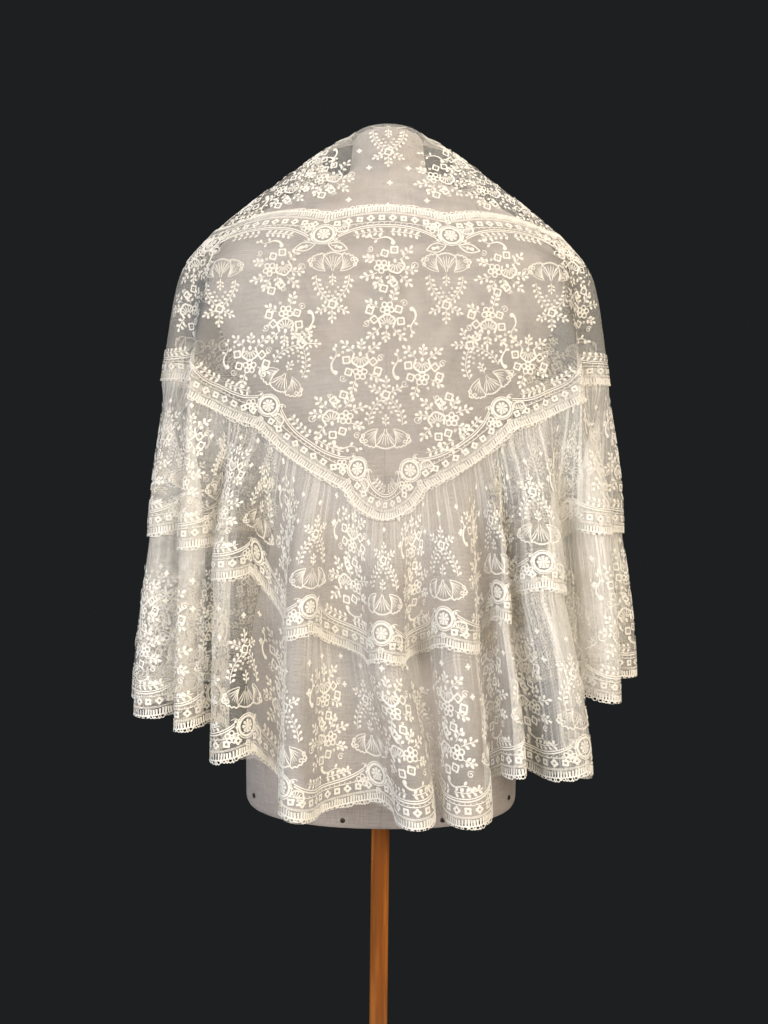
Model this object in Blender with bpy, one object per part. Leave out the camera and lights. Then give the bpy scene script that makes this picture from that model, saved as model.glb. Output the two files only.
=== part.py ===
"""Lace mantilla on a dress form stand, in metres, +Z up, its back towards -Y.

A shoulder mantilla of cream embroidered net in four tiers: an ungathered collar
flounce that stands up over the neck of the form, a shaped body, and two gathered
flounces, each sewn inside the hem of the tier above. Every tier is a wall of cloth
worked out from guide rings, a table of folds and the heights of its edges.
The dress form, its wood pole and its round foot are plain turned or lofted solids.
"""

import math

import bpy
import numpy as np

# Cloth
CLOTH = 0.0010
SEAM_GAP = 0.0005
OVERLAP = 0.022
TUCK = 0.004
FRONT_EDGE = math.radians(167.0)
STEPS_A_HALF_FOLD = 4

# Guide rings of the smooth drape over the shoulders: square is the ring's exponent.
DRAPE_COLUMNS = ("height", "half_width", "back", "front", "square")
DRAPE = np.array(
    [
        (0.900, 0.2920, 0.130, 0.138, 2.3),
        (1.020, 0.2900, 0.126, 0.136, 2.3),
        (1.090, 0.2860, 0.122, 0.134, 2.3),
        (1.195, 0.2730, 0.118, 0.130, 2.3),
        (1.240, 0.2670, 0.116, 0.125, 2.3),
        (1.320, 0.2535, 0.110, 0.115, 2.2),
        (1.370, 0.2190, 0.100, 0.090, 1.95),
        (1.410, 0.1760, 0.085, 0.075, 1.75),
        (1.460, 0.1120, 0.063, 0.058, 1.6),
        (1.484, 0.0740, 0.052, 0.050, 1.7),
        (1.4967, 0.0455, 0.0455, 0.0455, 2.0),
        (1.520, 0.0455, 0.0455, 0.0455, 2.0),
    ]
)

# Hem rings of the two gathered flounces, through the middle of their folds.
UPPER_RING = (0.263, 0.145, 0.150, 2.2)
LOWER_RING = (0.272, 0.168, 0.165, 2.2)

# Edge heights of the smooth tiers against the turn from the centre back in degrees.
COLLAR_TOP = ((0, 1.4967), (74, 1.4967), (90, 1.4860), (106, 1.4720), (167, 1.464))
BODY_TOP = ((0, 1.381), (60, 1.380), (90, 1.372), (110, 1.345), (140, 1.300), (167, 1.280))
BODY_HEM = (
    (-13, 1.0385),
    (0, 1.030),
    (13, 1.0385),
    (26, 1.064),
    (56, 1.129),
    (66, 1.158),
    (78, 1.190),
    (95, 1.197),
    (130, 1.195),
    (167, 1.190),
)
COLLAR_REACH = 0.077
COLLAR_LAST = 0.012
COLLAR_SLOPE = 0.395

# Scallops: the lace repeat along an edge, and how far a cusp stands back from the edge.
REPEAT = 0.124
SCALLOP_RISE = 0.010
TOP_REPEAT = 0.126
LOW_CUSP = 0.050
LOW_REPEAT = 0.118

# Ridge folds of the body: distance of the crest from the centre back along the ring.
RIDGE_COLUMNS = ("at", "proud", "spread", "sink", "sink_after", "sink_spread")
RIDGES = (
    (-0.226, 0.017, 0.012, 0.018, -0.034, 0.015),
    (0.226, 0.017, 0.012, 0.018, 0.034, 0.015),
)

# Folds of the two flounces that show from the back, left to right, one row a fold:
# distance of the crest from the centre back along the hem ring, width, hem height.
FOLD_COLUMNS = ("upper_at", "upper_wide", "upper_hem", "lower_at", "lower_wide", "lower_hem")
FOLDS = np.array(
    [
        (-0.268, 0.044, 1.009, -0.268, 0.052, 0.812),
        (-0.214, 0.034, 0.996, -0.208, 0.028, 0.807),
        (-0.165, 0.040, 0.965, -0.155, 0.044, 0.782),
        (-0.086, 0.036, 0.904, -0.084, 0.038, 0.728),
        (0.004, 0.039, 0.879, 0.035, 0.040, 0.728),
        (0.077, 0.048, 0.894, 0.089, 0.048, 0.728),
        (0.126, 0.016, 0.920, 0.137, 0.020, 0.769),
        (0.172, 0.054, 0.952, 0.202, 0.052, 0.761),
        (0.246, 0.046, 1.017, 0.258, 0.034, 0.834),
        (0.309, 0.042, 1.018, 0.322, 0.050, 0.851),
    ]
)
FRONT_FOLDS = 5
FRONT_WIDE = (0.038, 0.046)
FRONT_UPPER_HEM = 1.010
FRONT_LOWER_HEM = 0.812
UPPER_PROUD = 0.016
LOWER_PROUD = 0.020
PROUD_SHARE = 0.25
UPPER_SWELL = (2.0, 1.3)
LOWER_SWELL = (1.6, 1.0)

# Rows down each flounce, as shares of its depth
FLOUNCE_ROWS = (0.26, 0.52, 0.76)

# Dress form sections
FORM_COLUMNS = ("height", "half_width", "back", "front", "square")
FORM = np.array(
    [
        (0.6900, 0.1560, 0.1010, 0.1040, 2.3),
        (0.6930, 0.1620, 0.1065, 0.1095, 2.3),
        (0.7000, 0.1640, 0.1080, 0.1110, 2.3),
        (0.7900, 0.1650, 0.1080, 0.1120, 2.3),
        (0.8900, 0.1600, 0.1040, 0.1120, 2.3),
        (0.9900, 0.1400, 0.0940, 0.1050, 2.2),
        (1.0700, 0.1280, 0.0880, 0.0880, 2.2),
        (1.1400, 0.1480, 0.0930, 0.1000, 2.2),
        (1.1910, 0.1680, 0.0970, 0.1120, 2.2),
        (1.2500, 0.1950, 0.1000, 0.1130, 2.2),
        (1.2900, 0.2160, 0.0990, 0.1040, 2.2),
        (1.3250, 0.2180, 0.0930, 0.0960, 2.1),
        (1.3500, 0.2120, 0.0860, 0.0840, 2.0),
        (1.3700, 0.1990, 0.0780, 0.0720, 2.0),
        (1.3850, 0.1830, 0.0710, 0.0650, 1.9),
        (1.4000, 0.1620, 0.0650, 0.0590, 1.9),
        (1.4150, 0.1330, 0.0590, 0.0540, 1.9),
        (1.4300, 0.0950, 0.0530, 0.0490, 1.9),
        (1.4420, 0.0640, 0.0480, 0.0450, 2.0),
        (1.4550, 0.0480, 0.0440, 0.0430, 2.0),
        (1.4880, 0.0435, 0.0435, 0.0435, 2.0),
        (1.4938, 0.0425, 0.0425, 0.0425, 2.0),
        (1.4953, 0.0405, 0.0405, 0.0405, 2.0),
    ]
)
FORM_SIDES = 32

# Pole and foot
POLE_RADIUS = 0.0111
POLE_TOP = 0.6896
FOOT_PROFILE = (
    (0.000, 0.172),
    (0.004, 0.176),
    (0.014, 0.176),
    (0.020, 0.170),
    (0.024, 0.060),
    (0.032, 0.032),
    (0.056, 0.026),
    (0.060, 0.023),
)
POLE_FOOT = 0.0604
ROUND_SIDES = 32

# Finishes
CREAM_LACE = (0.900, 0.860, 0.760, 1.0)
LINEN_GREY = (0.470, 0.420, 0.390, 1.0)
VARNISHED_WOOD = (0.480, 0.200, 0.060, 1.0)


def clear_scene():
    for item in list(bpy.data.objects):
        bpy.data.objects.remove(item, do_unlink=True)


def material(name, colour, roughness):
    made = bpy.data.materials.new(name)
    made.use_nodes = True
    shader = made.node_tree.nodes["Principled BSDF"]
    shader.inputs["Base Color"].default_value = colour
    shader.inputs["Roughness"].default_value = roughness
    made.diffuse_color = colour
    return made


def smooth_through(x, xs, ys):
    """A curve through the points that never overshoots them."""
    xs = np.asarray(xs, float)
    ys = np.asarray(ys, float)
    x = np.clip(x, xs[0], xs[-1])
    step = np.diff(xs)
    rise = np.diff(ys) / step
    slope = np.zeros_like(ys)
    before = rise[:-1]
    after = rise[1:]
    same = before * after > 0
    mean = 2 * before * after / np.where(same, before + after, 1.0)
    slope[1:-1] = np.where(same, mean, 0.0)
    slope[0] = rise[0]
    slope[-1] = rise[-1]
    k = np.clip(np.searchsorted(xs, x, side="right") - 1, 0, len(step) - 1)
    t = (x - xs[k]) / step[k]
    a = 2 * t**3 - 3 * t**2 + 1
    b = (t**3 - 2 * t**2 + t) * step[k]
    c = 3 * t**2 - 2 * t**3
    d = (t**3 - t**2) * step[k]
    return a * ys[k] + b * slope[k] + c * ys[k + 1] + d * slope[k + 1]


def edge_height(turn, table):
    degrees = np.degrees(np.abs(turn))
    return smooth_through(degrees, [row[0] for row in table], [row[1] for row in table])


def ring_point(turn, half_width, back, front, square):
    """The point of a ring at a turn from the centre back, which faces -Y."""
    side = np.abs(np.sin(turn)) / half_width
    depth = np.abs(np.cos(turn)) / np.where(np.cos(turn) > 0, back, front)
    radius = 1 / (side**square + depth**square) ** (1 / square)
    return np.stack([radius * np.sin(turn), -radius * np.cos(turn)], axis=-1)


def drape_point(turn, height):
    sizes = [smooth_through(height, DRAPE[:, 0], DRAPE[:, k]) for k in (1, 2, 3, 4)]
    return ring_point(turn, *sizes)


def ring_lengths(ring):
    turns = np.linspace(-math.pi, math.pi, 2881)
    points = ring_point(turns, *ring)
    steps = np.hypot(*np.diff(points, axis=0).T)
    lengths = np.concatenate([[0.0], np.cumsum(steps)])
    return turns, lengths - np.interp(0.0, turns, lengths)


def turn_at(distance, ring):
    turns, lengths = ring_lengths(ring)
    return np.interp(distance, lengths, turns)


def length_at(turn, ring):
    turns, lengths = ring_lengths(ring)
    return np.interp(turn, turns, lengths)


def ring_outward(turn, ring):
    step = 1e-4
    along = ring_point(turn + step, *ring) - ring_point(turn - step, *ring)
    along /= np.linalg.norm(along, axis=-1, keepdims=True)
    return np.stack([along[..., 1], -along[..., 0]], axis=-1)


def front_folds(last, edge, hem):
    """Folds by rule from the last fold of the table to the front edge."""
    rows = []
    end = edge - FRONT_WIDE[0] / 2
    for k in range(1, FRONT_FOLDS + 1):
        wide = FRONT_WIDE[k % 2] if k < FRONT_FOLDS else FRONT_WIDE[0]
        rows.append((last + (end - last) * k / FRONT_FOLDS, wide, hem))
    return rows


def fold_rows(first_column, ring, front_hem):
    """Every fold of a flounce from the left front edge to the right front edge."""
    shown = [tuple(row[first_column : first_column + 3]) for row in FOLDS]
    edge = float(length_at(FRONT_EDGE, ring))
    left = front_folds(-shown[0][0], edge, front_hem)
    right = front_folds(shown[-1][0], edge, front_hem)
    mirrored = [(-at, wide, hem) for at, wide, hem in reversed(left)]
    return np.array(mirrored + shown + right)


def fold_columns(rows, proud, half):
    """For each column of cloth: even place, folded place, height of the fold, hem
    height, and length of cloth from the left front edge.

    A fold is half an ellipse outwards and the valley after it half an ellipse
    inwards, so both meet at upright flanks and neighbours never cross.
    """
    finer = 16
    steps = np.linspace(0, 1, half * finer, endpoint=False)
    angle = math.pi * (steps - 0.5)
    crest = [proud + PROUD_SHARE * wide for _, wide, _ in rows]
    parts = []
    for i, (at, wide, low) in enumerate(rows):
        folded = at + wide / 2 * np.sin(angle)
        flat = np.full_like(steps, low)
        parts.append([at + wide * (steps - 0.5), folded, crest[i] * np.cos(angle), flat])
        start = at + wide / 2
        if i + 1 == len(rows):
            parts.append([[start], [start], [0.0], [low]])
            break
        end = rows[i + 1][0] - rows[i + 1][1] / 2
        sink = (crest[i] + crest[i + 1]) / 2
        folded = (start + end) / 2 + (end - start) / 2 * np.sin(angle)
        slope = low + (rows[i + 1][2] - low) * steps
        parts.append([start + (end - start) * steps, folded, -sink * np.cos(angle), slope])
    table = np.concatenate([np.array(part) for part in parts], axis=1)
    steps = np.hypot(np.diff(table[1]), np.diff(table[2]))
    length = np.concatenate([[0.0], np.cumsum(steps)])
    return np.concatenate([table, length[None]])[:, ::finer]


UPPER_ROWS = fold_rows(0, UPPER_RING, FRONT_UPPER_HEM)
LOWER_ROWS = fold_rows(3, LOWER_RING, FRONT_LOWER_HEM)
UPPER = fold_columns(UPPER_ROWS, UPPER_PROUD, STEPS_A_HALF_FOLD)
LOWER = fold_columns(LOWER_ROWS, LOWER_PROUD, STEPS_A_HALF_FOLD)
TURNS = turn_at(UPPER[0], UPPER_RING)


def outward(grid):
    """Mitred normals of a grid of points, rows down and columns to the right."""
    rows, columns, _ = grid.shape
    total = np.zeros_like(grid)
    faces = []
    for r in range(rows - 1):
        a, b = grid[r, :-1], grid[r, 1:]
        c, d = grid[r + 1, 1:], grid[r + 1, :-1]
        face = np.cross(c - a, b - d)
        face /= np.linalg.norm(face, axis=-1, keepdims=True) + 1e-12
        faces.append(face)
        for row, span in ((r, slice(0, -1)), (r, slice(1, None))):
            total[row, span] += face
        for row, span in ((r + 1, slice(0, -1)), (r + 1, slice(1, None))):
            total[row, span] += face
    total /= np.linalg.norm(total, axis=-1, keepdims=True)
    share = np.zeros((rows, columns))
    count = np.zeros((rows, columns))
    for r, face in enumerate(faces):
        for row in (r, r + 1):
            for span in (slice(0, -1), slice(1, None)):
                share[row, span] += np.sum(total[row, span] * face, axis=-1)
                count[row, span] += 1
    return total / np.clip(share / count, 0.6, 1.0)[..., None]


def between(grid, row, share):
    return grid[row] * (1 - share) + grid[row + 1] * share


def body_grid():
    """The body's outer face: rows from the scalloped upper edge down to the hem."""
    top = edge_height(TURNS, BODY_TOP)
    low = edge_height(TURNS, BODY_HEM)
    heights = [top, top - 0.025]
    for share in (0.28, 0.58, 0.82):
        heights.append(top - 0.025 + (low + OVERLAP - top + 0.025) * share)
    heights += [low + OVERLAP, low]
    grid = []
    for height in heights:
        flat = drape_point(TURNS, height)
        grow = np.clip((1.36 - height) / 0.16, 0, 1) ** 1.2
        lift = np.zeros_like(TURNS)
        for at, proud, spread, sink, after, sink_spread in RIDGES:
            lift += proud * np.exp(-(((UPPER[0] - at) / spread) ** 2))
            lift -= sink * np.exp(-(((UPPER[0] - at - after) / sink_spread) ** 2))
        flat = flat + ring_outward(TURNS, UPPER_RING) * (lift * grow)[:, None]
        grid.append(np.concatenate([flat, height[:, None]], axis=1))
    return np.array(grid)


def scalloped(grid, normals, rise, row, beside):
    """Raises the edge row towards the row beside it, along the cloth."""
    gap = np.linalg.norm(grid[beside] - grid[row], axis=-1)
    share = np.minimum(rise / gap, 0.8)[:, None]
    moved = []
    for values in (grid, normals):
        values = values.copy()
        values[row] = values[row] * (1 - share) + values[beside] * share
        moved.append(values)
    return moved


def arches(distance, repeat):
    """0 at the middle of each scallop and 1 at its cusps, with a cusp at 0."""
    return 1 - np.abs(np.sin(math.pi * distance / repeat))


def even_arches(length):
    return arches(length, length[-1] / round(length[-1] / REPEAT))


def edge_length(row):
    steps = np.linalg.norm(np.diff(row, axis=0), axis=1)
    length = np.concatenate([[0.0], np.cumsum(steps)])
    return length - np.interp(0.0, UPPER[0], length)


def body_arches(top, hem):
    """The body's scallops: an arch at the centre of each edge, narrower at the hem."""
    along = np.abs(edge_length(hem))
    narrow = arches(along + LOW_CUSP, 2 * LOW_CUSP)
    low = np.where(along < LOW_CUSP, narrow, arches(along - LOW_CUSP, LOW_REPEAT))
    return arches(edge_length(top) + TOP_REPEAT / 2, TOP_REPEAT), low


def collar_grid(body, body_out):
    """The collar flounce: its seam inside the body, its free edge on the neck cap."""
    turns = TURNS[::2]
    under = -(CLOTH + SEAM_GAP)
    seam = between(body, 0, 0.5) + between(body_out, 0, 0.5) * under
    clear = body[0] + (body[0] - body[1]) * 0.16 + body_out[0] * under
    reach = COLLAR_REACH * np.clip(np.cos(turns), 0, 1)
    short = np.clip(COLLAR_LAST - reach, 0, None)
    edge = edge_height(turns, COLLAR_TOP)
    rim = edge - COLLAR_SLOPE * short
    grid = [seam[::2], clear[::2]]
    start = clear[::2, 2]
    for share in (0.30, 0.58, 0.84, 1.0):
        height = start + (rim - start) * share
        flat = drape_point(turns, height)
        inward = ring_outward(turns, UPPER_RING) * (under * (1 - share))
        grid.append(np.concatenate([flat + inward, height[:, None]], axis=1))
    for share in (0.5, 1.0):
        along = (reach + short) * share
        height = rim + COLLAR_SLOPE * np.minimum(along, short)
        flat = drape_point(turns, height)
        flat[:, 1] += np.clip(along - short, 0, None)
        grid.append(np.concatenate([flat, height[:, None]], axis=1))
    return np.array(grid[::-1])


def flounce_grid(above, above_out, place, ring, swell):
    """A gathered flounce: its top inside the hem of the tier above, then folded."""
    even, folded, lift, hem, _ = place
    under = -(CLOTH + SEAM_GAP)
    seam = above[-2] + above_out[-2] * under
    down = above[-1] - above[-2]
    down /= np.linalg.norm(down, axis=-1, keepdims=True)
    length = np.linalg.norm(above[-1] - above[-2], axis=-1, keepdims=True)
    clear = above[-2] + down * (length + TUCK) + above_out[-1] * under
    start = clear[:, 2]
    grid = [seam, clear]
    heights = [start + (hem - start) * share for share in FLOUNCE_ROWS]
    heights += [hem + OVERLAP, hem]
    for height in heights:
        share = (start - height) / (start - hem)
        out = (1 - (1 - share) ** swell[0])[:, None]
        fold = out ** swell[1]
        turn = turn_at(even * (1 - fold[:, 0]) + folded * fold[:, 0], ring)
        flat = ring_point(turn, *ring) * out + clear[:, :2] * (1 - out)
        flat = flat + ring_outward(turn, ring) * lift[:, None] * fold
        grid.append(np.concatenate([flat, height[:, None]], axis=1))
    return np.array(grid)


def wall(name, outer, normals, finish):
    """A closed wall of cloth: the outer grid, the same moved in, and its four edges."""
    rows, columns, _ = outer.shape
    inner = outer - normals * CLOTH
    points = np.concatenate([outer.reshape(-1, 3), inner.reshape(-1, 3)])
    shift = rows * columns
    faces = []
    for r in range(rows - 1):
        for c in range(columns - 1):
            a = r * columns + c
            b, d = a + 1, a + columns
            e = d + 1
            faces.append((a, d, e))
            faces.append((a, e, b))
            faces.append((a + shift, e + shift, d + shift))
            faces.append((a + shift, b + shift, e + shift))
    last = (rows - 1) * columns
    for c in range(columns - 1):
        faces.append((c, c + 1, c + 1 + shift, c + shift))
        faces.append((last + c, last + c + shift, last + c + 1 + shift, last + c + 1))
    for r in range(rows - 1):
        a, b = r * columns, (r + 1) * columns
        faces.append((a, a + shift, b + shift, b))
        a, b = a + columns - 1, b + columns - 1
        faces.append((a, b, b + shift, a + shift))
    return solid(name, points, faces, finish)


def solid(name, points, faces, finish):
    mesh = bpy.data.meshes.new(name)
    mesh.from_pydata([tuple(map(float, point)) for point in points], [], faces)
    mesh.update()
    made = bpy.data.objects.new(name, mesh)
    bpy.context.collection.objects.link(made)
    mesh.materials.append(finish)
    return made


def loft(name, rings, finish):
    """A closed solid through rings of equal point counts, lowest first."""
    rings = np.array(rings)
    count, sides, _ = rings.shape
    ends = [rings[0].mean(axis=0), rings[-1].mean(axis=0)]
    points = np.concatenate([rings.reshape(-1, 3), ends])
    faces = []
    for r in range(count - 1):
        for k in range(sides):
            a, b = r * sides + k, r * sides + (k + 1) % sides
            faces.append((a, b, b + sides, a + sides))
    low, high = count * sides, count * sides + 1
    for k in range(sides):
        n = (k + 1) % sides
        faces.append((low, n, k))
        faces.append((high, (count - 1) * sides + k, (count - 1) * sides + n))
    return solid(name, points, faces, finish)


def lofted_form(finish):
    turns = np.linspace(0, 2 * math.pi, FORM_SIDES, endpoint=False)
    rings = []
    for height, half_width, back, front, square in FORM:
        flat = ring_point(turns, half_width, back, front, square)
        rings.append(np.concatenate([flat, np.full((FORM_SIDES, 1), height)], axis=1))
    return loft("dress_form", rings, finish)


def turned(name, profile, sides, finish):
    turns = np.linspace(0, 2 * math.pi, sides, endpoint=False)
    rings = []
    for height, radius in profile:
        ring = [(radius * math.sin(t), -radius * math.cos(t), height) for t in turns]
        rings.append(ring)
    return loft(name, rings, finish)


def build():
    clear_scene()
    lace = material("Cream lace net", CREAM_LACE, 0.9)
    linen = material("Grey linen", LINEN_GREY, 0.9)
    wood = material("Varnished wood", VARNISHED_WOOD, 0.35)

    body = body_grid()
    body_out = outward(body)
    collar = collar_grid(body, body_out)
    collar_out = outward(collar)
    upper = flounce_grid(body, body_out, UPPER, UPPER_RING, UPPER_SWELL)
    upper_out = outward(upper)
    lower = flounce_grid(upper, upper_out, LOWER, LOWER_RING, LOWER_SWELL)
    lower_out = outward(lower)

    arch, low_arch = body_arches(body[0], body[-1])
    body, body_out = scalloped(body, body_out, arch * SCALLOP_RISE, 0, 1)
    body, body_out = scalloped(body, body_out, low_arch * SCALLOP_RISE, -1, -2)
    upper_arch = even_arches(UPPER[4]) * SCALLOP_RISE
    lower_arch = even_arches(LOWER[4]) * SCALLOP_RISE
    upper, upper_out = scalloped(upper, upper_out, upper_arch, -1, -2)
    lower, lower_out = scalloped(lower, lower_out, lower_arch, -1, -2)

    wall("collar_flounce", collar, collar_out, lace)
    wall("body", body, body_out, lace)
    wall("flounce_upper", upper, upper_out, lace)
    wall("flounce_lower", lower, lower_out, lace)
    lofted_form(linen)
    turned("pole", ((POLE_FOOT, POLE_RADIUS), (POLE_TOP, POLE_RADIUS)), 24, wood)
    turned("foot", FOOT_PROFILE, ROUND_SIDES, wood)


build()
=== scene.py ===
"""Embroidered net mantilla on a dress form: cloth, embroidery, stand, light and camera.

The mantilla's tiers are worked out as fine grids of points from the same guide rings
and fold tables as its solids. The net is cut along its scallops, and the embroidery is
a set of charted motifs laid on the grids and moved out by the thickness of its thread.
"""

import math

import bpy
import numpy as np
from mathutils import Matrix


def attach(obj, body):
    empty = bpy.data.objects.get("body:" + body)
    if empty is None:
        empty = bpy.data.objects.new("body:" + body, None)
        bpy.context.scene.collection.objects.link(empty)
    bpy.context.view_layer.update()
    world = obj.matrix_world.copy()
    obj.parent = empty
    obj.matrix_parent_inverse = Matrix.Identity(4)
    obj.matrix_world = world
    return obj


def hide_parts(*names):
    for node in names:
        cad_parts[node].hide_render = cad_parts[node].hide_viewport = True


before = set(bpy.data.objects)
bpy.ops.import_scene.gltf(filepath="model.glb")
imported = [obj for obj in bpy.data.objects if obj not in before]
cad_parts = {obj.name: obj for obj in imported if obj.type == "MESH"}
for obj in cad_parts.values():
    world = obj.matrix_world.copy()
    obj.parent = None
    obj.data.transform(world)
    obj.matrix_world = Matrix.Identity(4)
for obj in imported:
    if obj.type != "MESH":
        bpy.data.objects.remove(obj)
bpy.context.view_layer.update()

# Cloth
CLOTH = 0.0010
SEAM_GAP = 0.0005
OVERLAP = 0.022
COLLAR_SEAM = 0.025
TUCK = 0.004
FRONT_EDGE = math.radians(167.0)
STEPS_A_HALF_FOLD = 24

# Guide rings of the smooth drape over the shoulders: height, half width, depth at the
# back and at the front, and the exponent of the ring's curve
DRAPE = np.array(
    [
        (0.900, 0.2920, 0.130, 0.138, 2.3),
        (1.020, 0.2900, 0.126, 0.136, 2.3),
        (1.090, 0.2860, 0.122, 0.134, 2.3),
        (1.195, 0.2730, 0.118, 0.130, 2.3),
        (1.240, 0.2670, 0.116, 0.125, 2.3),
        (1.320, 0.2535, 0.110, 0.115, 2.2),
        (1.370, 0.2190, 0.100, 0.090, 1.95),
        (1.410, 0.1760, 0.085, 0.075, 1.75),
        (1.460, 0.1120, 0.063, 0.058, 1.6),
        (1.484, 0.0740, 0.052, 0.050, 1.7),
        (1.4967, 0.0455, 0.0455, 0.0455, 2.0),
        (1.520, 0.0455, 0.0455, 0.0455, 2.0),
    ]
)
UPPER_RING = (0.263, 0.145, 0.150, 2.2)
LOWER_RING = (0.272, 0.168, 0.165, 2.2)

# Edge heights against the turn from the centre back, in degrees
COLLAR_TOP = ((0, 1.4967), (74, 1.4967), (90, 1.4860), (106, 1.4720), (167, 1.464))
BODY_TOP = ((0, 1.381), (60, 1.380), (90, 1.372), (110, 1.345), (140, 1.300), (167, 1.280))
BODY_HEM = (
    (-13, 1.0385),
    (0, 1.030),
    (13, 1.0385),
    (26, 1.064),
    (56, 1.129),
    (66, 1.158),
    (78, 1.190),
    (95, 1.197),
    (130, 1.195),
    (167, 1.190),
)

# Collar flounce: length that lies on the neck cap, shortest length and slope past it,
# and the share of the seam band that it clears above the body
COLLAR_REACH = 0.077
COLLAR_LAST = 0.012
COLLAR_SLOPE = 0.395
COLLAR_CLEAR = 0.16

# Scallops
REPEAT = 0.124
SCALLOP_RISE = 0.010
TOP_REPEAT = 0.126
LOW_CUSP = 0.058
LOW_REPEAT = 0.118

# Columns of cloth over which the hem's direction is evened out
HEM_WINDOW = 41

# Ridge folds of the body: place, height and spread of the ridge, then depth, place
# after the ridge and spread of the hollow beside it
RIDGE_TOP = 1.36
RIDGE_FADE = 0.16
RIDGES = (
    (-0.226, 0.017, 0.012, 0.018, -0.034, 0.015),
    (0.226, 0.017, 0.012, 0.018, 0.034, 0.015),
)

# Folds of the two flounces that show from the back, left to right, one row a fold:
# place, width and hem height in the upper flounce, then in the lower one
FOLDS = np.array(
    [
        (-0.268, 0.044, 1.009, -0.268, 0.052, 0.812),
        (-0.214, 0.034, 0.996, -0.208, 0.028, 0.807),
        (-0.165, 0.040, 0.965, -0.155, 0.044, 0.782),
        (-0.086, 0.036, 0.904, -0.084, 0.038, 0.728),
        (0.004, 0.039, 0.879, 0.035, 0.040, 0.728),
        (0.077, 0.048, 0.894, 0.089, 0.048, 0.728),
        (0.126, 0.016, 0.920, 0.137, 0.020, 0.769),
        (0.172, 0.054, 0.952, 0.202, 0.052, 0.761),
        (0.246, 0.046, 1.017, 0.258, 0.034, 0.834),
        (0.309, 0.042, 1.018, 0.322, 0.050, 0.851),
    ]
)
FRONT_FOLDS = 5
FRONT_WIDE = (0.038, 0.046)
FRONT_UPPER_HEM = 1.010
FRONT_LOWER_HEM = 0.812
UPPER_PROUD = 0.016
LOWER_PROUD = 0.020
PROUD_SHARE = 0.25
UPPER_SWELL = (2.0, 1.3)
LOWER_SWELL = (1.6, 1.0)

# Fine gathers near the seam of each flounce: waves a metre of hem, their height, and
# the share of the depth where they end
GATHER_WAVES = (34.0, 53.0, 71.0, 97.0)
GATHER_HEIGHT = 0.0009
GATHER_TOP = 0.45

# Dress form sections, with the columns of DRAPE
FORM = np.array(
    [
        (0.6900, 0.1560, 0.1010, 0.1040, 2.3),
        (0.6930, 0.1620, 0.1065, 0.1095, 2.3),
        (0.7000, 0.1640, 0.1080, 0.1110, 2.3),
        (0.7900, 0.1650, 0.1080, 0.1120, 2.3),
        (0.8900, 0.1600, 0.1040, 0.1120, 2.3),
        (0.9900, 0.1400, 0.0940, 0.1050, 2.2),
        (1.0700, 0.1280, 0.0880, 0.0880, 2.2),
        (1.1400, 0.1480, 0.0930, 0.1000, 2.2),
        (1.1910, 0.1680, 0.0970, 0.1120, 2.2),
        (1.2500, 0.1950, 0.1000, 0.1130, 2.2),
        (1.2900, 0.2160, 0.0990, 0.1040, 2.2),
        (1.3250, 0.2180, 0.0930, 0.0960, 2.1),
        (1.3500, 0.2120, 0.0860, 0.0840, 2.0),
        (1.3700, 0.1990, 0.0780, 0.0720, 2.0),
        (1.3850, 0.1830, 0.0710, 0.0650, 1.9),
        (1.4000, 0.1620, 0.0650, 0.0590, 1.9),
        (1.4150, 0.1330, 0.0590, 0.0540, 1.9),
        (1.4300, 0.0950, 0.0530, 0.0490, 1.9),
        (1.4420, 0.0640, 0.0480, 0.0450, 2.0),
        (1.4550, 0.0480, 0.0440, 0.0430, 2.0),
        (1.4880, 0.0435, 0.0435, 0.0435, 2.0),
        (1.4938, 0.0425, 0.0425, 0.0425, 2.0),
        (1.4953, 0.0405, 0.0405, 0.0405, 2.0),
    ]
)
FORM_SIDES = 128
FORM_ROWS_A_SECTION = 6

# Tack heads: x and height of each, then their radius, dome, rows and sides
NAILS = ((-0.147, 0.709), (-0.0415, 0.701), (0.0685, 0.701), (0.149, 0.709))
NAIL_RADIUS = 0.0028
NAIL_DOME = (0.0002, 0.0016)
NAIL_ROWS = 5
NAIL_SIDES = 16

# Camera, from the photo's frame of 768 by 1024
CAMERA_AT = (0.0, -0.95, 1.04)
CAMERA_ROLL = -0.65
CAMERA_LENS = 27.04
PIXELS_A_UNIT = 769
FRAME_MIDDLE = (384, 512)
BACK_HALF = math.radians(88.0)

# Studio. Lamps: name, place, side of the square, watts, colour
FLOOR_RADIUS = 0.50
FLOOR_SIDES = 96
SURROUNDINGS = "1D1F20"
LAMP_AIM = (0.0, 0.0, 1.1)
LAMPS = (
    ("key", (1.6, -2.6, 2.1), 1.5, 127.0, "FFF4E6"),
    ("fill", (-1.9, -2.2, 1.5), 1.6, 82.0, "EEF3FF"),
    ("top", (0.2, 0.4, 3.0), 1.4, 28.0, "FFFFFF"),
    ("front", (0.4, 2.6, 1.7), 1.6, 60.0, "FFEBD0"),
)

# Net and thread
NET_PITCH = 0.0016
NET_SOFT = 0.22
THREAD_RISE = 0.0007
KNOT_RISE = 0.0008
THREAD_LIFT = 0.0005

# Crowding of the flounces' net: the share of the depth above which the seam gathers
# it, the places where the overlapped flanks begin, are full, and thin out to nothing,
# and the flanks' densities. The right flank's far higher density is painted light for
# the side where the light falls. From a place onwards the left side's net is thinned
# as painted shade. Last come the limits of the whole.
CROWD_SEAM_FROM = 0.52
CROWD_FLANK = (0.12, 0.20, 0.224, 0.384)
CROWD_RIGHT_AND_LIGHT = {"upper": 1.10, "lower": 2.0}
CROWD_AT_HEM = {"upper": 1.0, "lower": 0.25}
CROWD_LEFT = 0.15
CROWD_LEFT_PAINTED_SHADE = {"upper": 0.05, "lower": 0.22}
CROWD_LEFT_SHADE_FROM = -0.10
CROWD_LIMITS = (-0.2, 2.1)

# Heights of the flounces' motifs over the hem: fan, first and second bouquet
FLOUNCE_MOTIFS = (0.057, 0.072, 0.124)

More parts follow.
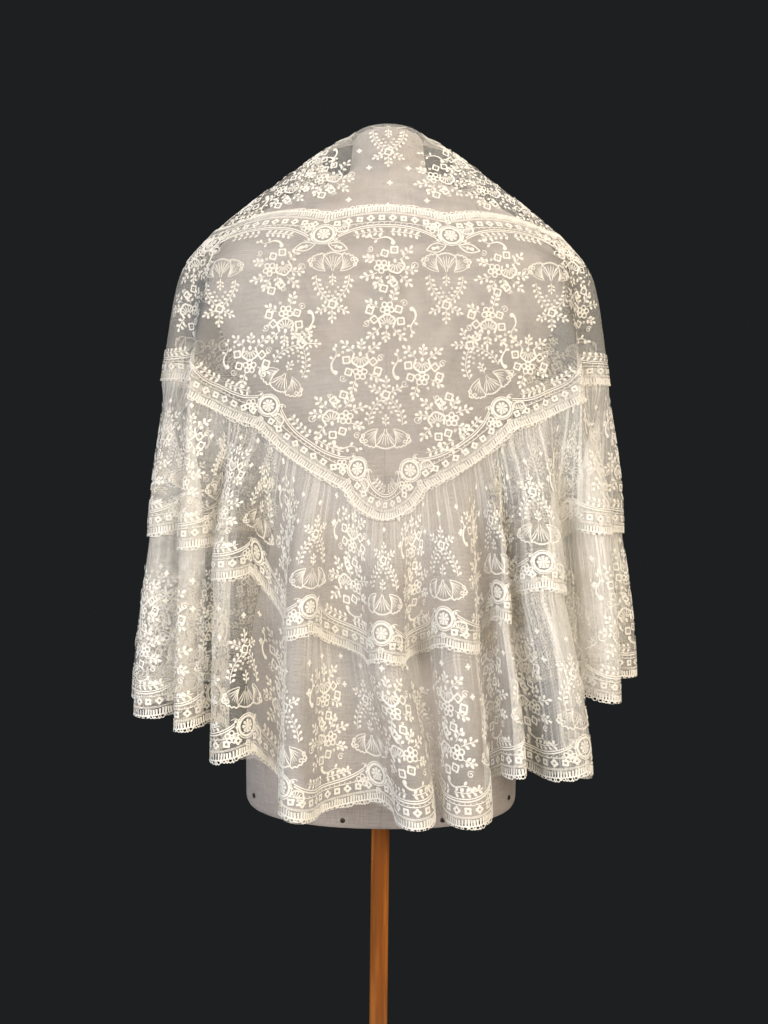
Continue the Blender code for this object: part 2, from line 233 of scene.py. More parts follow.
# Small flowers in the plain net of the flounces, x and y in one repeat
FLOUNCE_FLORETS = (
    (0.030, 0.128),
    (0.094, 0.128),
    (0.0, 0.150),
    (0.062, 0.160),
    (0.031, 0.158),
    (0.093, 0.158),
)

# Motifs that show from the back: chart, turn, rise, and the photo's pixels at which
# their origins lie
HALF_TURN = math.pi
BODY_MOTIFS = (
    ("one", HALF_TURN, 0, ((278, 269), (390, 269), (502, 269))),
    ("fan", HALF_TURN, 0, ((333, 256), (447, 256), (222, 260), (550, 262))),
    ("two", HALF_TURN, 0, ((286, 321), (388, 321), (489, 321), (196, 262), (573, 264))),
    ("two", 0.0, 0, ((249, 360), (358, 367), (419, 367), (527, 360))),
    ("fan", -0.5, 0, ((277, 391),)),
    ("fan", 0.5, 0, ((494, 391),)),
    ("fan", 0.0, 0, ((385, 452),)),
    ("one", 0.0, 0, ((336, 419), (442, 419), (193, 312), (577, 312))),
)
COLLAR_REPEATS = 9
COLLAR_FLORETS = (
    (359, 151),
    (420, 149),
    (370, 168),
    (408, 168),
    (389, 183),
    (350, 200),
    (388, 205),
    (426, 200),
)
COLLAR_MOTIFS = (
    ("fan", HALF_TURN, 0.0575, ((389, 153),)),
    ("one", HALF_TURN, 0, ((328, 178), (441, 178))),
    ("floret", 0.0, 0, COLLAR_FLORETS),
)

# Motifs towards the fronts: chart, length from the centre back, height
BODY_SIDES = (("fan", 0.372, 1.262), ("one", 0.430, 1.262))
COLLAR_SIDES = (
    ("two", 0.092, 1.458),
    ("one", 0.122, 1.415),
    ("two", 0.175, 1.400),
    ("one", 0.235, 1.395),
    ("two", 0.315, 1.390),
    ("one", 0.390, 1.385),
)


def smooth_through(x, xs, ys):
    """A curve through the points that never overshoots them."""
    xs = np.asarray(xs, float)
    ys = np.asarray(ys, float)
    x = np.clip(x, xs[0], xs[-1])
    step = np.diff(xs)
    rise = np.diff(ys) / step
    slope = np.zeros_like(ys)
    before = rise[:-1]
    after = rise[1:]
    same = before * after > 0
    mean = 2 * before * after / np.where(same, before + after, 1.0)
    slope[1:-1] = np.where(same, mean, 0.0)
    slope[0] = rise[0]
    slope[-1] = rise[-1]
    k = np.clip(np.searchsorted(xs, x, side="right") - 1, 0, len(step) - 1)
    t = (x - xs[k]) / step[k]
    a = 2 * t**3 - 3 * t**2 + 1
    b = (t**3 - 2 * t**2 + t) * step[k]
    c = 3 * t**2 - 2 * t**3
    d = (t**3 - t**2) * step[k]
    return a * ys[k] + b * slope[k] + c * ys[k + 1] + d * slope[k + 1]


def edge_height(turn, table):
    degrees = np.degrees(np.abs(turn))
    return smooth_through(degrees, [row[0] for row in table], [row[1] for row in table])


def ring_point(turn, half_width, back, front, square):
    """The point of a ring at a turn from the centre back, which faces -Y."""
    side = np.abs(np.sin(turn)) / half_width
    depth = np.abs(np.cos(turn)) / np.where(np.cos(turn) > 0, back, front)
    radius = 1 / (side**square + depth**square) ** (1 / square)
    return np.stack([radius * np.sin(turn), -radius * np.cos(turn)], axis=-1)


def ring_at(table, height):
    """The ring of a table of sections at a height."""
    return [smooth_through(height, table[:, 0], table[:, k]) for k in (1, 2, 3, 4)]


def drape_point(turn, height):
    return ring_point(turn, *ring_at(DRAPE, height))


def running(path):
    """The length along a path up to each of its points."""
    steps = np.linalg.norm(np.diff(path, axis=0), axis=1)
    return np.concatenate([[0.0], np.cumsum(steps)])


def ring_lengths(ring):
    turns = np.linspace(-math.pi, math.pi, 2881)
    lengths = running(ring_point(turns, *ring))
    return turns, lengths - np.interp(0.0, turns, lengths)


def turn_at(distance, ring):
    turns, lengths = ring_lengths(ring)
    return np.interp(distance, lengths, turns)


def length_at(turn, ring):
    turns, lengths = ring_lengths(ring)
    return np.interp(turn, turns, lengths)


def ring_outward(turn, ring):
    step = 1e-4
    along = ring_point(turn + step, *ring) - ring_point(turn - step, *ring)
    along /= np.linalg.norm(along, axis=-1, keepdims=True)
    return np.stack([along[..., 1], -along[..., 0]], axis=-1)


def front_folds(last, edge, hem):
    """Folds by rule from the last fold of the table to the front edge."""
    rows = []
    end = edge - FRONT_WIDE[0] / 2
    for k in range(1, FRONT_FOLDS + 1):
        wide = FRONT_WIDE[k % 2] if k < FRONT_FOLDS else FRONT_WIDE[0]
        rows.append((last + (end - last) * k / FRONT_FOLDS, wide, hem))
    return rows


def fold_rows(first_column, ring, front_hem):
    """Every fold of a flounce from the left front edge to the right front edge."""
    shown = [tuple(row[first_column : first_column + 3]) for row in FOLDS]
    edge = float(length_at(FRONT_EDGE, ring))
    left = front_folds(-shown[0][0], edge, front_hem)
    right = front_folds(shown[-1][0], edge, front_hem)
    mirrored = [(-at, wide, hem) for at, wide, hem in reversed(left)]
    return np.array(mirrored + shown + right)


def fold_columns(rows, proud, half):
    """For each column of cloth: even place, folded place, height of the fold, hem
    height, and length of cloth from the left front edge.

    A fold is half an ellipse outwards and the valley after it half an ellipse
    inwards, so both meet at upright flanks and neighbours never cross.
    """
    finer = 16
    steps = np.linspace(0, 1, half * finer, endpoint=False)
    angle = math.pi * (steps - 0.5)
    crest = [proud + PROUD_SHARE * wide for _, wide, _ in rows]
    parts = []
    for i, (at, wide, low) in enumerate(rows):
        folded = at + wide / 2 * np.sin(angle)
        flat = np.full_like(steps, low)
        parts.append([at + wide * (steps - 0.5), folded, crest[i] * np.cos(angle), flat])
        start = at + wide / 2
        if i + 1 == len(rows):
            parts.append([[start], [start], [0.0], [low]])
            break
        end = rows[i + 1][0] - rows[i + 1][1] / 2
        sink = (crest[i] + crest[i + 1]) / 2
        folded = (start + end) / 2 + (end - start) / 2 * np.sin(angle)
        slope = low + (rows[i + 1][2] - low) * steps
        parts.append([start + (end - start) * steps, folded, -sink * np.cos(angle), slope])
    table = np.concatenate([np.array(part) for part in parts], axis=1)
    length = running(table[1:3].T)
    return np.concatenate([table, length[None]])[:, ::finer]


UPPER_ROWS = fold_rows(0, UPPER_RING, FRONT_UPPER_HEM)
LOWER_ROWS = fold_rows(3, LOWER_RING, FRONT_LOWER_HEM)
UPPER = fold_columns(UPPER_ROWS, UPPER_PROUD, STEPS_A_HALF_FOLD)
LOWER = fold_columns(LOWER_ROWS, LOWER_PROUD, STEPS_A_HALF_FOLD)
TURNS = turn_at(UPPER[0], UPPER_RING)


def arches(distance, repeat):
    """0 at the middle of each scallop and 1 at its cusps, with a cusp at 0."""
    return 1 - np.abs(np.sin(math.pi * distance / repeat))


def grid_normals(grid):
    """Outward unit normals of a grid of points, rows down and columns to the right."""
    across = np.gradient(grid, axis=1)
    down = np.gradient(grid, axis=0)
    normals = np.cross(down, across)
    return normals / (np.linalg.norm(normals, axis=-1, keepdims=True) + 1e-12)


def spaced(start, end, count):
    """Heights from start, left out, to end."""
    shares = np.arange(1, count + 1) / count
    return [start + (end - start) * share for share in shares]


# Rows of the body: from its upper edge to the collar's seam band, on to the hem's seam
# band, and down to the hem
BODY_BANDS = (6, 32, 7)
FLOUNCE_BANDS = (24, 7)
COLLAR_BANDS = (26, 9)


def body_grid():
    top = edge_height(TURNS, BODY_TOP)
    low = edge_height(TURNS, BODY_HEM)
    heights = [top] + spaced(top, top - COLLAR_SEAM, BODY_BANDS[0])
    heights += spaced(top - COLLAR_SEAM, low + OVERLAP, BODY_BANDS[1])
    heights += spaced(low + OVERLAP, low, BODY_BANDS[2])
    grid = []
    for height in heights:
        flat = drape_point(TURNS, height)
        grow = np.clip((RIDGE_TOP - height) / RIDGE_FADE, 0, 1) ** 1.2
        lift = np.zeros_like(TURNS)
        for at, proud, spread, sink, after, sink_spread in RIDGES:
            lift += proud * np.exp(-(((UPPER[0] - at) / spread) ** 2))
            lift -= sink * np.exp(-(((UPPER[0] - at - after) / sink_spread) ** 2))
        flat = flat + ring_outward(TURNS, UPPER_RING) * (lift * grow)[:, None]
        grid.append(np.concatenate([flat, height[:, None]], axis=1))
    return np.array(grid)


def collar_grid(body, body_out):
    """The collar flounce: its free edge on the neck cap first, its seam row last."""
    turns = TURNS[::2]
    under = -(CLOTH + SEAM_GAP)
    tucked = [body[k] + body_out[k] * under for k in range(BODY_BANDS[0] // 2, -1, -1)]
    up = body[0] - body[BODY_BANDS[0]]
    clear = body[0] + up * COLLAR_CLEAR + body_out[0] * under
    reach = COLLAR_REACH * np.clip(np.cos(turns), 0, 1)
    short = np.clip(COLLAR_LAST - reach, 0, None)
    edge = edge_height(turns, COLLAR_TOP)
    rim = edge - COLLAR_SLOPE * short
    grid = [row[::2] for row in tucked] + [clear[::2]]
    start = clear[::2, 2]
    for share in np.arange(1, COLLAR_BANDS[0] + 1) / COLLAR_BANDS[0]:
        height = start + (rim - start) * share
        flat = drape_point(turns, height)
        inward = ring_outward(turns, UPPER_RING) * (under * (1 - share))
        grid.append(np.concatenate([flat + inward, height[:, None]], axis=1))
    for share in np.arange(1, COLLAR_BANDS[1] + 1) / COLLAR_BANDS[1]:
        along = (reach + short) * share
        height = rim + COLLAR_SLOPE * np.minimum(along, short)
        flat = drape_point(turns, height)
        flat[:, 1] += np.clip(along - short, 0, None)
        grid.append(np.concatenate([flat, height[:, None]], axis=1))
    return np.array(grid[::-1])


def flounce_grid(above, above_out, hem_rows, place, ring, swell):
    """A gathered flounce: its top inside the hem of the tier above, then folded."""
    even, folded, lift, hem, _ = place
    under = -(CLOTH + SEAM_GAP)
    grid = [above[k] + above_out[k] * under for k in range(-1 - hem_rows, 0)]
    down = above[-1] - above[-1 - hem_rows]
    down /= np.linalg.norm(down, axis=-1, keepdims=True)
    clear = above[-1] + down * TUCK + above_out[-1] * under
    grid.append(clear)
    start = clear[:, 2]
    heights = spaced(start, hem + OVERLAP, FLOUNCE_BANDS[0])
    heights += spaced(hem + OVERLAP, hem, FLOUNCE_BANDS[1])
    for height in heights:
        share = (start - height) / (start - hem)
        out = (1 - (1 - share) ** swell[0])[:, None]
        fold = out ** swell[1]
        turn = turn_at(even * (1 - fold[:, 0]) + folded * fold[:, 0], ring)
        flat = ring_point(turn, *ring) * out + clear[:, :2] * (1 - out)
        flat = flat + ring_outward(turn, ring) * lift[:, None] * fold
        grid.append(np.concatenate([flat, height[:, None]], axis=1))
    return np.array(grid)


def gathered(grid, length):
    """Adds the fine irregular gathers that run down from a flounce's seam."""
    share = np.linspace(0, 1, len(grid))
    fade = np.clip(1 - share / GATHER_TOP, 0, 1) ** 1.2
    ripple = np.zeros_like(length)
    rng = np.random.default_rng(int(GATHER_WAVES[0]))
    for wave in GATHER_WAVES:
        drift = 0.35 * np.sin(2 * math.pi * length * wave / 7.3 + rng.uniform(0, 6))
        ripple += np.sin(2 * math.pi * length * wave + drift * 4 + rng.uniform(0, 6))
    ripple = np.clip(ripple / len(GATHER_WAVES) * 1.6, -1, 1)
    lift = GATHER_HEIGHT * fade[:, None] * ripple[None, :]
    return grid + grid_normals(grid) * lift[..., None]


# Steps of a cloth's tables of distances from an edge and of levels
EDGE_STEP = 0.001
LEVEL_STEP = 0.002


class Cloth:
    """A grid of points of one tier, with the lengths along and down the cloth."""

    def __init__(self, grid, centre):
        self.grid = grid
        self.out = grid_normals(grid)
        self.rows, self.columns, _ = grid.shape
        self.centre = centre
        steps = np.linalg.norm(np.diff(grid, axis=0), axis=-1)
        self.down = np.concatenate([np.zeros((1, self.columns)), np.cumsum(steps, axis=0)])
        self.index = np.arange(self.columns)

    def along(self, row):
        """Lengths along a row from the centre back."""
        length = running(self.grid[row])
        return length - np.interp(self.centre, self.index, length)

    def point(self, row, column, height):
        row = np.clip(row, 0, self.rows - 1.001)
        column = np.clip(column, 0, self.columns - 1.001)
        r, c = row.astype(int), column.astype(int)
        a, b = (row - r)[:, None], (column - c)[:, None]
        total = 0
        for dr, dc, share in (
            (0, 0, (1 - a) * (1 - b)),
            (0, 1, (1 - a) * b),
            (1, 0, a * (1 - b)),
            (1, 1, a * b),
        ):
            at = self.grid[r + dr, c + dc] + self.out[r + dr, c + dc] * height[:, None]
            total = total + at * share
        return total

    def from_edge(self, edge, along, distance, height):
        """Points at a distance from the first or last row, at a length along it."""
        column = np.interp(along, self.along(edge), self.index)
        span = self.down if edge == 0 else (self.down[-1] - self.down)[::-1]
        far = np.arange(0, int(span.max() / EDGE_STEP) + 2) * EDGE_STEP
        table = np.array([np.interp(far, span[:, c], np.arange(self.rows)) for c in self.index])
        at = np.clip(distance / EDGE_STEP, 0, len(far) - 1.001)
        column = np.clip(column, 0, self.columns - 1.001)
        j, c = at.astype(int), column.astype(int)
        a, b = at - j, column - c
        row = table[c, j] * (1 - a) * (1 - b) + table[c, j + 1] * a * (1 - b)
        row += table[c + 1, j] * (1 - a) * b + table[c + 1, j + 1] * a * b
        if edge != 0:
            row = self.rows - 1 - row
        return self.point(row, column, height)

    def measure_levels(self):
        """For levels LEVEL_STEP apart: the row, the arc length and x of each column."""
        z = self.grid[..., 2]
        self.levels = np.arange(z.min(), z.max() + LEVEL_STEP, LEVEL_STEP)
        rows = np.zeros((len(self.levels), self.columns))
        for c in self.index:
            order = np.argsort(z[:, c])
            rows[:, c] = np.interp(self.levels, z[order, c], order.astype(float))
        self.table = []
        for row in rows:
            places = self.point(row, self.index.astype(float), np.zeros(self.columns))
            length = running(places)
            length -= np.interp(self.centre, self.index, length)
            self.table.append((row, length, places[:, 0]))

    def level_index(self, z):
        return int(np.clip((z - self.levels[0]) / LEVEL_STEP, 0, len(self.levels) - 1))

    def at_level(self, along, z, height):
        """Points at a height z and an arc length along the level from the centre."""
        at = np.clip((z - self.levels[0]) / LEVEL_STEP, 0, len(self.levels) - 1.001)
        k = at.astype(int)
        share = at - k
        row = np.zeros_like(along)
        column = np.zeros_like(along)
        for level in np.unique(k):
            mine = k == level
            for step_up, weight in ((0, 1 - share[mine]), (1, share[mine])):
                rows, length, _ = self.table[level + step_up]
                here = np.interp(along[mine], length, self.index)
                column[mine] += here * weight
                row[mine] += np.interp(here, self.index, rows) * weight
        return self.point(row, column, height)


class Chart:
    """Embroidered shapes: points with x along the edge, y away from it and height, in
    metres, and triangles."""

    def __init__(self):
        self.points = []
        self.faces = []

    def add(self, points, faces):
        base = len(self.points)
        self.points.extend(points)
        self.faces.extend([tuple(base + k for k in face) for face in faces])

    def arrays(self):
        """The points, lifted on to the net, and the triangles."""
        points = np.array(self.points, float)
        points[:, 2] += THREAD_LIFT
        return points, np.array(self.faces, int)

    def place(self, other, x=0.0, y=0.0, turn=0.0, mirror=False, size=1.0):
        c, s = math.cos(turn), math.sin(turn)
        sign = -1.0 if mirror else 1.0
        points = []
        for px, py, h in other.points:
            px, py = px * size * sign, py * size
            points.append((x + px * c - py * s, y + px * s + py * c, h))
        faces = [face[::-1] for face in other.faces] if mirror else other.faces
        self.add(points, faces)

    def oval(self, x, y, turn, length, width):
        """A satin-stitch oval with a raised middle, its foot at x, y."""
        c, s = math.cos(turn), math.sin(turn)
        points = [(x + 0.5 * length * c, y + 0.5 * length * s, THREAD_RISE)]
        for k in range(8):
            t = 2 * math.pi * k / 8
            u, v = 0.5 * length * (1 + math.cos(t)), 0.5 * width * math.sin(t)
            points.append((x + u * c - v * s, y + u * s + v * c, 0.3 * THREAD_RISE))
        self.add(points, [(0, 1 + k, 1 + (k + 1) % 8) for k in range(8)])

    def petal(self, x, y, turn, length, width):
        """A petal that widens outwards to a round end, its narrow foot at x, y."""
        c, s = math.cos(turn), math.sin(turn)
        shape = [(0, 0.1, 0.3), (0.45, 0.34, 0.4), (0.8, 0.5, 0.4), (0.97, 0.3, 0.3), (1.0, 0, 0.3)]
        shape += [(u, -v, h) for u, v, h in shape[3::-1]] + [(0.62, 0, 1.0)]
        points = []
        for u, v, h in shape:
            px, py = u * length, v * width
            points.append((x + px * c - py * s, y + px * s + py * c, h * THREAD_RISE))
        last = len(shape) - 1
        self.add(points, [(last, (k + 1) % last, k) for k in range(last)])

    def line(self, path, width, rise=0.0006, taper=False):
        """A ribbon of thread along a path."""
        path = np.array(path, float)
        step = np.gradient(path, axis=0)
        step /= np.linalg.norm(step, axis=1, keepdims=True) + 1e-12
        side = np.stack([-step[:, 1], step[:, 0]], axis=1)
        wide = np.full(len(path), width / 2)
        if taper:
            wide = wide * np.linspace(1.0, 0.3, len(path))
        points = []
        for p, n, w in zip(path, side, wide):
            points.append((p[0] + n[0] * w, p[1] + n[1] * w, rise * 0.5))
            points.append((p[0] - n[0] * w, p[1] - n[1] * w, rise))
        faces = []
        for k in range(len(path) - 1):
            a = 2 * k
            faces.append((a, a + 1, a + 3))
            faces.append((a, a + 3, a + 2))
        self.add(points, faces)

    def ring(self, x, y, radius, width, sides=20, wave=0.0, lobes=4, first=0.0):
        """A raised ring, its outline lobed if wave isn't 0."""
        points = []
        for k in range(sides):
            t = 2 * math.pi * k / sides
            swing = wave * math.cos(lobes * (t - first))
            outer, inner = radius + swing, radius - width + swing * 0.5
            for r, h in ((inner, 0.4), ((outer + inner) / 2, 1.0), (outer, 0.4)):
                points.append((x + r * math.cos(t), y + r * math.sin(t), h * THREAD_RISE))
        faces = []
        for k in range(sides):
            a, b = 3 * k, 3 * ((k + 1) % sides)
            for i in (0, 1):
                faces.append((a + i, a + i + 1, b + i + 1))
                faces.append((a + i, b + i + 1, b + i))
        self.add(points, faces)

    def dot(self, x, y, radius, sides=6):
        points = [(x, y, KNOT_RISE)]
        for k in range(sides):
            t = 2 * math.pi * k / sides
            points.append((x + radius * math.cos(t), y + radius * math.sin(t), 0.3 * KNOT_RISE))
        self.add(points, [(0, 1 + k, 1 + (k + 1) % sides) for k in range(sides)])

    def stalked(self, x, y, turn, stalk, length, width):
        """An oval leaf at the end of a stalk."""
        fx, fy = x + stalk * math.cos(turn), y + stalk * math.sin(turn)
        self.line([(x, y), (fx, fy)], 0.0007)
        self.oval(fx, fy, turn, length, width)


def curve(count, place):
    """Points of a path: place(share) at even shares from 0 to 1."""
    return [place(k / (count - 1)) for k in range(count)]


def along_path(path, distance):
    """The point of a path at a distance from its start, and its direction there."""
    path = np.array(path, float)
    lengths = running(path)
    k = int(np.clip(np.searchsorted(lengths, distance) - 1, 0, len(path) - 2))
    aim = path[k + 1] - path[k]
    at = path[k] + aim * (distance - lengths[k]) / (lengths[k + 1] - lengths[k])
    return at[0], at[1], math.atan2(aim[1], aim[0])


def arc(x, y, radius, start, end, count):
    turns = np.radians(np.linspace(start, end, count))
    return [(x + radius * math.cos(t), y + radius * math.sin(t)) for t in turns]


def pansy(size):
    """A small flower of four outlined petals with an open middle."""
    made = Chart()
    made.ring(0, 0, size * 1.06, size * 0.46, sides=20, wave=size * 0.17, first=0.5)
    made.dot(0, 0, size * 0.17, sides=4)
    return made


def shell_flower():
    """A fan of rays with slits between them inside a thick scalloped petal."""
    made = Chart()

    def rim(share):
        t = math.radians(-48 + 276 * share)
        r = 0.0074 + 0.0012 * abs(math.cos(2.5 * (t - math.pi / 2)))
        return r * math.cos(t) * 1.06, r * math.sin(t)

    made.line(curve(25, rim), 0.0023, rise=KNOT_RISE)
    for k in range(7):
        t = math.radians(90 + 22 * (k - 3))
        made.oval(0.0022 * math.cos(t), -0.004 + 0.0022 * math.sin(t), t, 0.0086, 0.0014)
    made.oval(0, -0.003, -math.pi / 2, 0.0052, 0.004)
    return made


def rose():
    """A round flower of five outlined petals round a small ring."""
    made = Chart()
    for k in range(5):
        t = 2 * math.pi * (k + 0.25) / 5
        made.ring(0.005 * math.cos(t), 0.005 * math.sin(t), 0.0035, 0.0016, sides=10)
    made.ring(0, 0, 0.0023, 0.0011, sides=8)
    return made


def curl(radius):
    """A thin tendril that winds into a ball."""
    made = Chart()

    def winding(share):
        t = 2 * math.pi * 1.15 * share
        r = radius * (1 - 0.72 * share)
        return r * math.cos(t) - radius, r * math.sin(t)

    path = curve(13, winding)
    made.line(path, 0.0009)
    made.dot(path[-1][0], path[-1][1], 0.001, sides=5)
    return made


def comma():
    """A scroll with a ball at its head that thins into a stem with leaves."""
    made = Chart()
    path = arc(0, -0.004, 0.0105, 150, 60, 10) + arc(0.0103, 0.014, 0.01, -118, -50, 5)
    made.line(path, 0.0029, rise=KNOT_RISE, taper=True)
    made.dot(path[0][0] + 0.0006, path[0][1] - 0.001, 0.0026, sides=8)
    for k, lean in ((9, 1.3), (11, -0.9), (13, 1.0), (14, 0.1)):
        made.stalked(path[k][0], path[k][1], lean, 0.0014, 0.0044, 0.003)
    return made


def spray(length, leaf, bend=0.0):
    """A stem along +x with two pairs of stalked ovals and one at its end."""
    made = Chart()
    stem = curve(7, lambda share: (length * share, bend * share * share))
    made.line(stem, 0.0008)
    for share, leans in ((0.5, (0.8, -1.0)), (1.5, (1.0, -0.8))):
        x, y, aim = along_path(stem, length * share / 2.2)
        for lean in leans:
            made.stalked(x, y, aim + lean, 0.0015, leaf, leaf * 0.66)
    x, y = stem[-1]
    made.oval(x, y, math.atan2(bend * 2, length), leaf, leaf * 0.66)
    return made


def medallion():
    """The ring medallion over each cusp."""
    made = Chart()
    made.ring(0, 0, 0.0128, 0.0011, sides=36)
    made.ring(0, 0, 0.011, 0.0024, sides=32)
    for k in range(8):
        t = 2 * math.pi * k / 8
        made.petal(0.0012 * math.cos(t), 0.0012 * math.sin(t), t, 0.0054, 0.0034)
    made.dot(0, 0, 0.0014)
    return made


def lens():
    """A pointed outline with a bud inside, its foot at the origin, along +x."""
    made = Chart()
    for wide in (0.0052, -0.0052):
        path = curve(9, lambda share: (0.02 * share, wide * math.sin(math.pi * share)))
        made.line(path, 0.0013)
    made.line([(0.003, 0), (0.009, 0)], 0.0008)
    made.petal(0.0085, 0, 0, 0.0062, 0.0044)
    made.stalked(0.007, 0, 0.8, 0.0006, 0.0026, 0.0016)
    made.stalked(0.007, 0, -0.8, 0.0006, 0.0026, 0.0016)
    return made


def side_bell():
    """The left bell of a fan: ribs, rings and a scalloped mouth that faces -y."""
    made = Chart()

    def belly(share):
        bow = 0.0036 * math.sin(math.pi * share)
        return -0.0085 - 0.0195 * share - 0.5 * bow, 0.0205 - 0.0125 * share + 0.8 * bow

    def mouth(share):
        wave = 0.0009 * math.cos(8 * math.pi * share) - 0.002 * math.sin(math.pi * share)
        return -0.028 + 0.0175 * share, 0.008 - 0.0075 * share + wave

    made.line(curve(10, belly), 0.001)
    made.line(curve(17, mouth), 0.0012)
    made.line([(-0.0085, 0.0205), (-0.011, 0.012), (-0.0105, 0.0005)], 0.001)
    ribs = ((-0.0128, 0.004), (-0.015, 0.0052), (-0.0172, 0.0068), (-0.0192, 0.0104), (-0.0206, 0.0136))
    for x, y in ribs:
        turn = math.atan2(y - 0.019, x + 0.009)
        made.oval(-0.0092, 0.0188, turn, math.hypot(x + 0.0092, y - 0.0188), 0.0009)
    for x, y in ((-0.0252, 0.009), (-0.0212, 0.007), (-0.0242, 0.013)):
        made.ring(x, y, 0.0023, 0.0011, sides=9)
    return made


def middle_bell():
    """The ribbed tulip in the middle of a fan, with a toothed mouth that faces -y."""
    made = Chart()
    for k in range(7):
        t = math.radians(-90 + 12 * (k - 3))
        long = 0.0145 - 0.0006 * abs(k - 3)
        made.oval(0.0042 * math.cos(t), 0.02 + 0.0042 * math.sin(t), t, long, 0.001)

    def mouth(share):
        x = -0.01 + 0.02 * share
        teeth = 0.0007 * math.cos(14 * math.pi * share)
        return x, 0.0022 - 0.003 * math.cos(160 * x) + teeth

    made.line(curve(29, mouth), 0.0012)
    for side in (-1, 1):

        def cheek(share):
            return side * (0.0008 + 0.0095 * share**1.6), 0.0205 - 0.0185 * share

        made.line(curve(8, cheek), 0.001)
    return made


def fan_chart():
    """Three bells, two leaf garlands that meet, and sprigs. The bells' mouths face -y,
    and the middle one's mouth is at y 0."""
    made = Chart()
    made.place(side_bell())
    made.place(side_bell(), mirror=True)
    made.place(middle_bell())
    for side in (-1, 1):

        def garland(share):
            out = 0.0032 + 0.015 * math.cos(0.5 * math.pi * share**1.3)
            return side * out, 0.0245 + 0.03 * share

        path = curve(10, garland)
        made.line(path, 0.0008)
        for k in range(12):
            x, y, aim = along_path(path, 0.001 + 0.0029 * k)
            lean = 1.0 if k % 2 else -1.0
            made.stalked(x, y, aim + lean, 0.0019, 0.0042, 0.0029)
    made.place(pansy(0.0048), 0, 0.0575)
    for lean in (0.0, 1.1, -1.1):
        turn = math.pi / 2 + lean
        x, y = 0.0045 * math.cos(turn), 0.0575 + 0.0045 * math.sin(turn)
        made.place(spray(0.0125, 0.0044), x, y, turn=turn)
    made.place(spray(0.01, 0.0036), 0, 0.023, turn=math.pi / 2)
    for x, y in ((-0.006, 0.0385), (0.006, 0.0385), (-0.0034, 0.0435), (0.0034, 0.0435), (0.0, 0.048)):
        made.ring(x, y, 0.0015, 0.0009, sides=7)
    return made


def bouquet_one():
    """The bouquet over a scallop's middle: shell flower, rose, scrolls and leaves."""
    made = Chart()
    made.place(comma(), 0.005, -0.026, turn=math.pi, mirror=True)
    made.place(pansy(0.0047), -0.005, -0.018, turn=0.3)
    made.place(pansy(0.0045), 0.0055, -0.014)
    made.place(shell_flower(), -0.0072, 0.0, turn=0.25)
    made.place(rose(), 0.009, 0.001)
    made.place(pansy(0.0047), -0.0042, 0.019, turn=0.9)
    made.place(pansy(0.0047), 0.0062, 0.0255)
    made.place(spray(0.015, 0.005, 0.002), -0.0125, -0.0075, turn=math.pi + 0.75)
    made.place(spray(0.0125, 0.005), -0.014, 0.004, turn=math.pi - 0.1)
    made.place(spray(0.014, 0.005), -0.0115, 0.0105, turn=math.pi - 0.75)
    made.place(spray(0.015, 0.005, -0.002), 0.0135, 0.008, turn=0.45)
    made.place(spray(0.012, 0.005), 0.008, 0.0115, turn=1.05)
    made.place(spray(0.011, 0.0048), 0.015, -0.005, turn=-0.35)
    made.place(spray(0.01, 0.0046), 0.0, 0.0085, turn=1.75)
    made.place(curl(0.0038), 0.0245, -0.0165, turn=0.6)
    made.place(curl(0.0046), -0.0235, 0.0, turn=math.pi, mirror=True)
    made.place(curl(0.0034), -0.0105, 0.0265, turn=2.6)
    for x, y in ((-0.013, -0.017), (0.017, 0.021), (0.0215, -0.0095), (0.013, -0.011)):
        made.ring(x, y, 0.0017, 0.001, sides=7)
    return made


def bouquet_two():
    """The looser bouquet: rose over shell flower, a scroll and four sprays."""
    made = Chart()
    made.place(comma(), -0.0235, -0.001, turn=1.35)
    made.place(rose(), 0.001, -0.0095)
    made.place(shell_flower(), 0.001, 0.0055, turn=math.pi)
    made.place(pansy(0.0047), -0.014, 0.0045, turn=0.4)
    made.place(pansy(0.0045), -0.0115, -0.0085)
    made.place(pansy(0.0045), 0.015, 0.003, turn=1.0)
    made.place(pansy(0.0047), 0.02, -0.007)
    made.place(spray(0.015, 0.005, 0.002), -0.006, 0.0125, turn=math.pi - 0.9)
    made.place(spray(0.0145, 0.005, -0.0015), 0.0085, 0.012, turn=0.8)
    made.place(spray(0.012, 0.005), 0.0105, -0.01, turn=-0.5)
    made.place(spray(0.0125, 0.005), -0.0035, -0.0165, turn=-1.9)
    made.place(spray(0.01, 0.0046), 0.0015, 0.014, turn=1.5)
    made.place(curl(0.0042), -0.0135, -0.0165, turn=math.pi - 0.3, mirror=True)
    made.place(curl(0.0042), 0.027, 0.009, turn=0.5)
    for x, y in ((0.0075, -0.02), (-0.018, 0.013), (0.0215, 0.005)):
        made.ring(x, y, 0.0017, 0.001, sides=7)
    return made


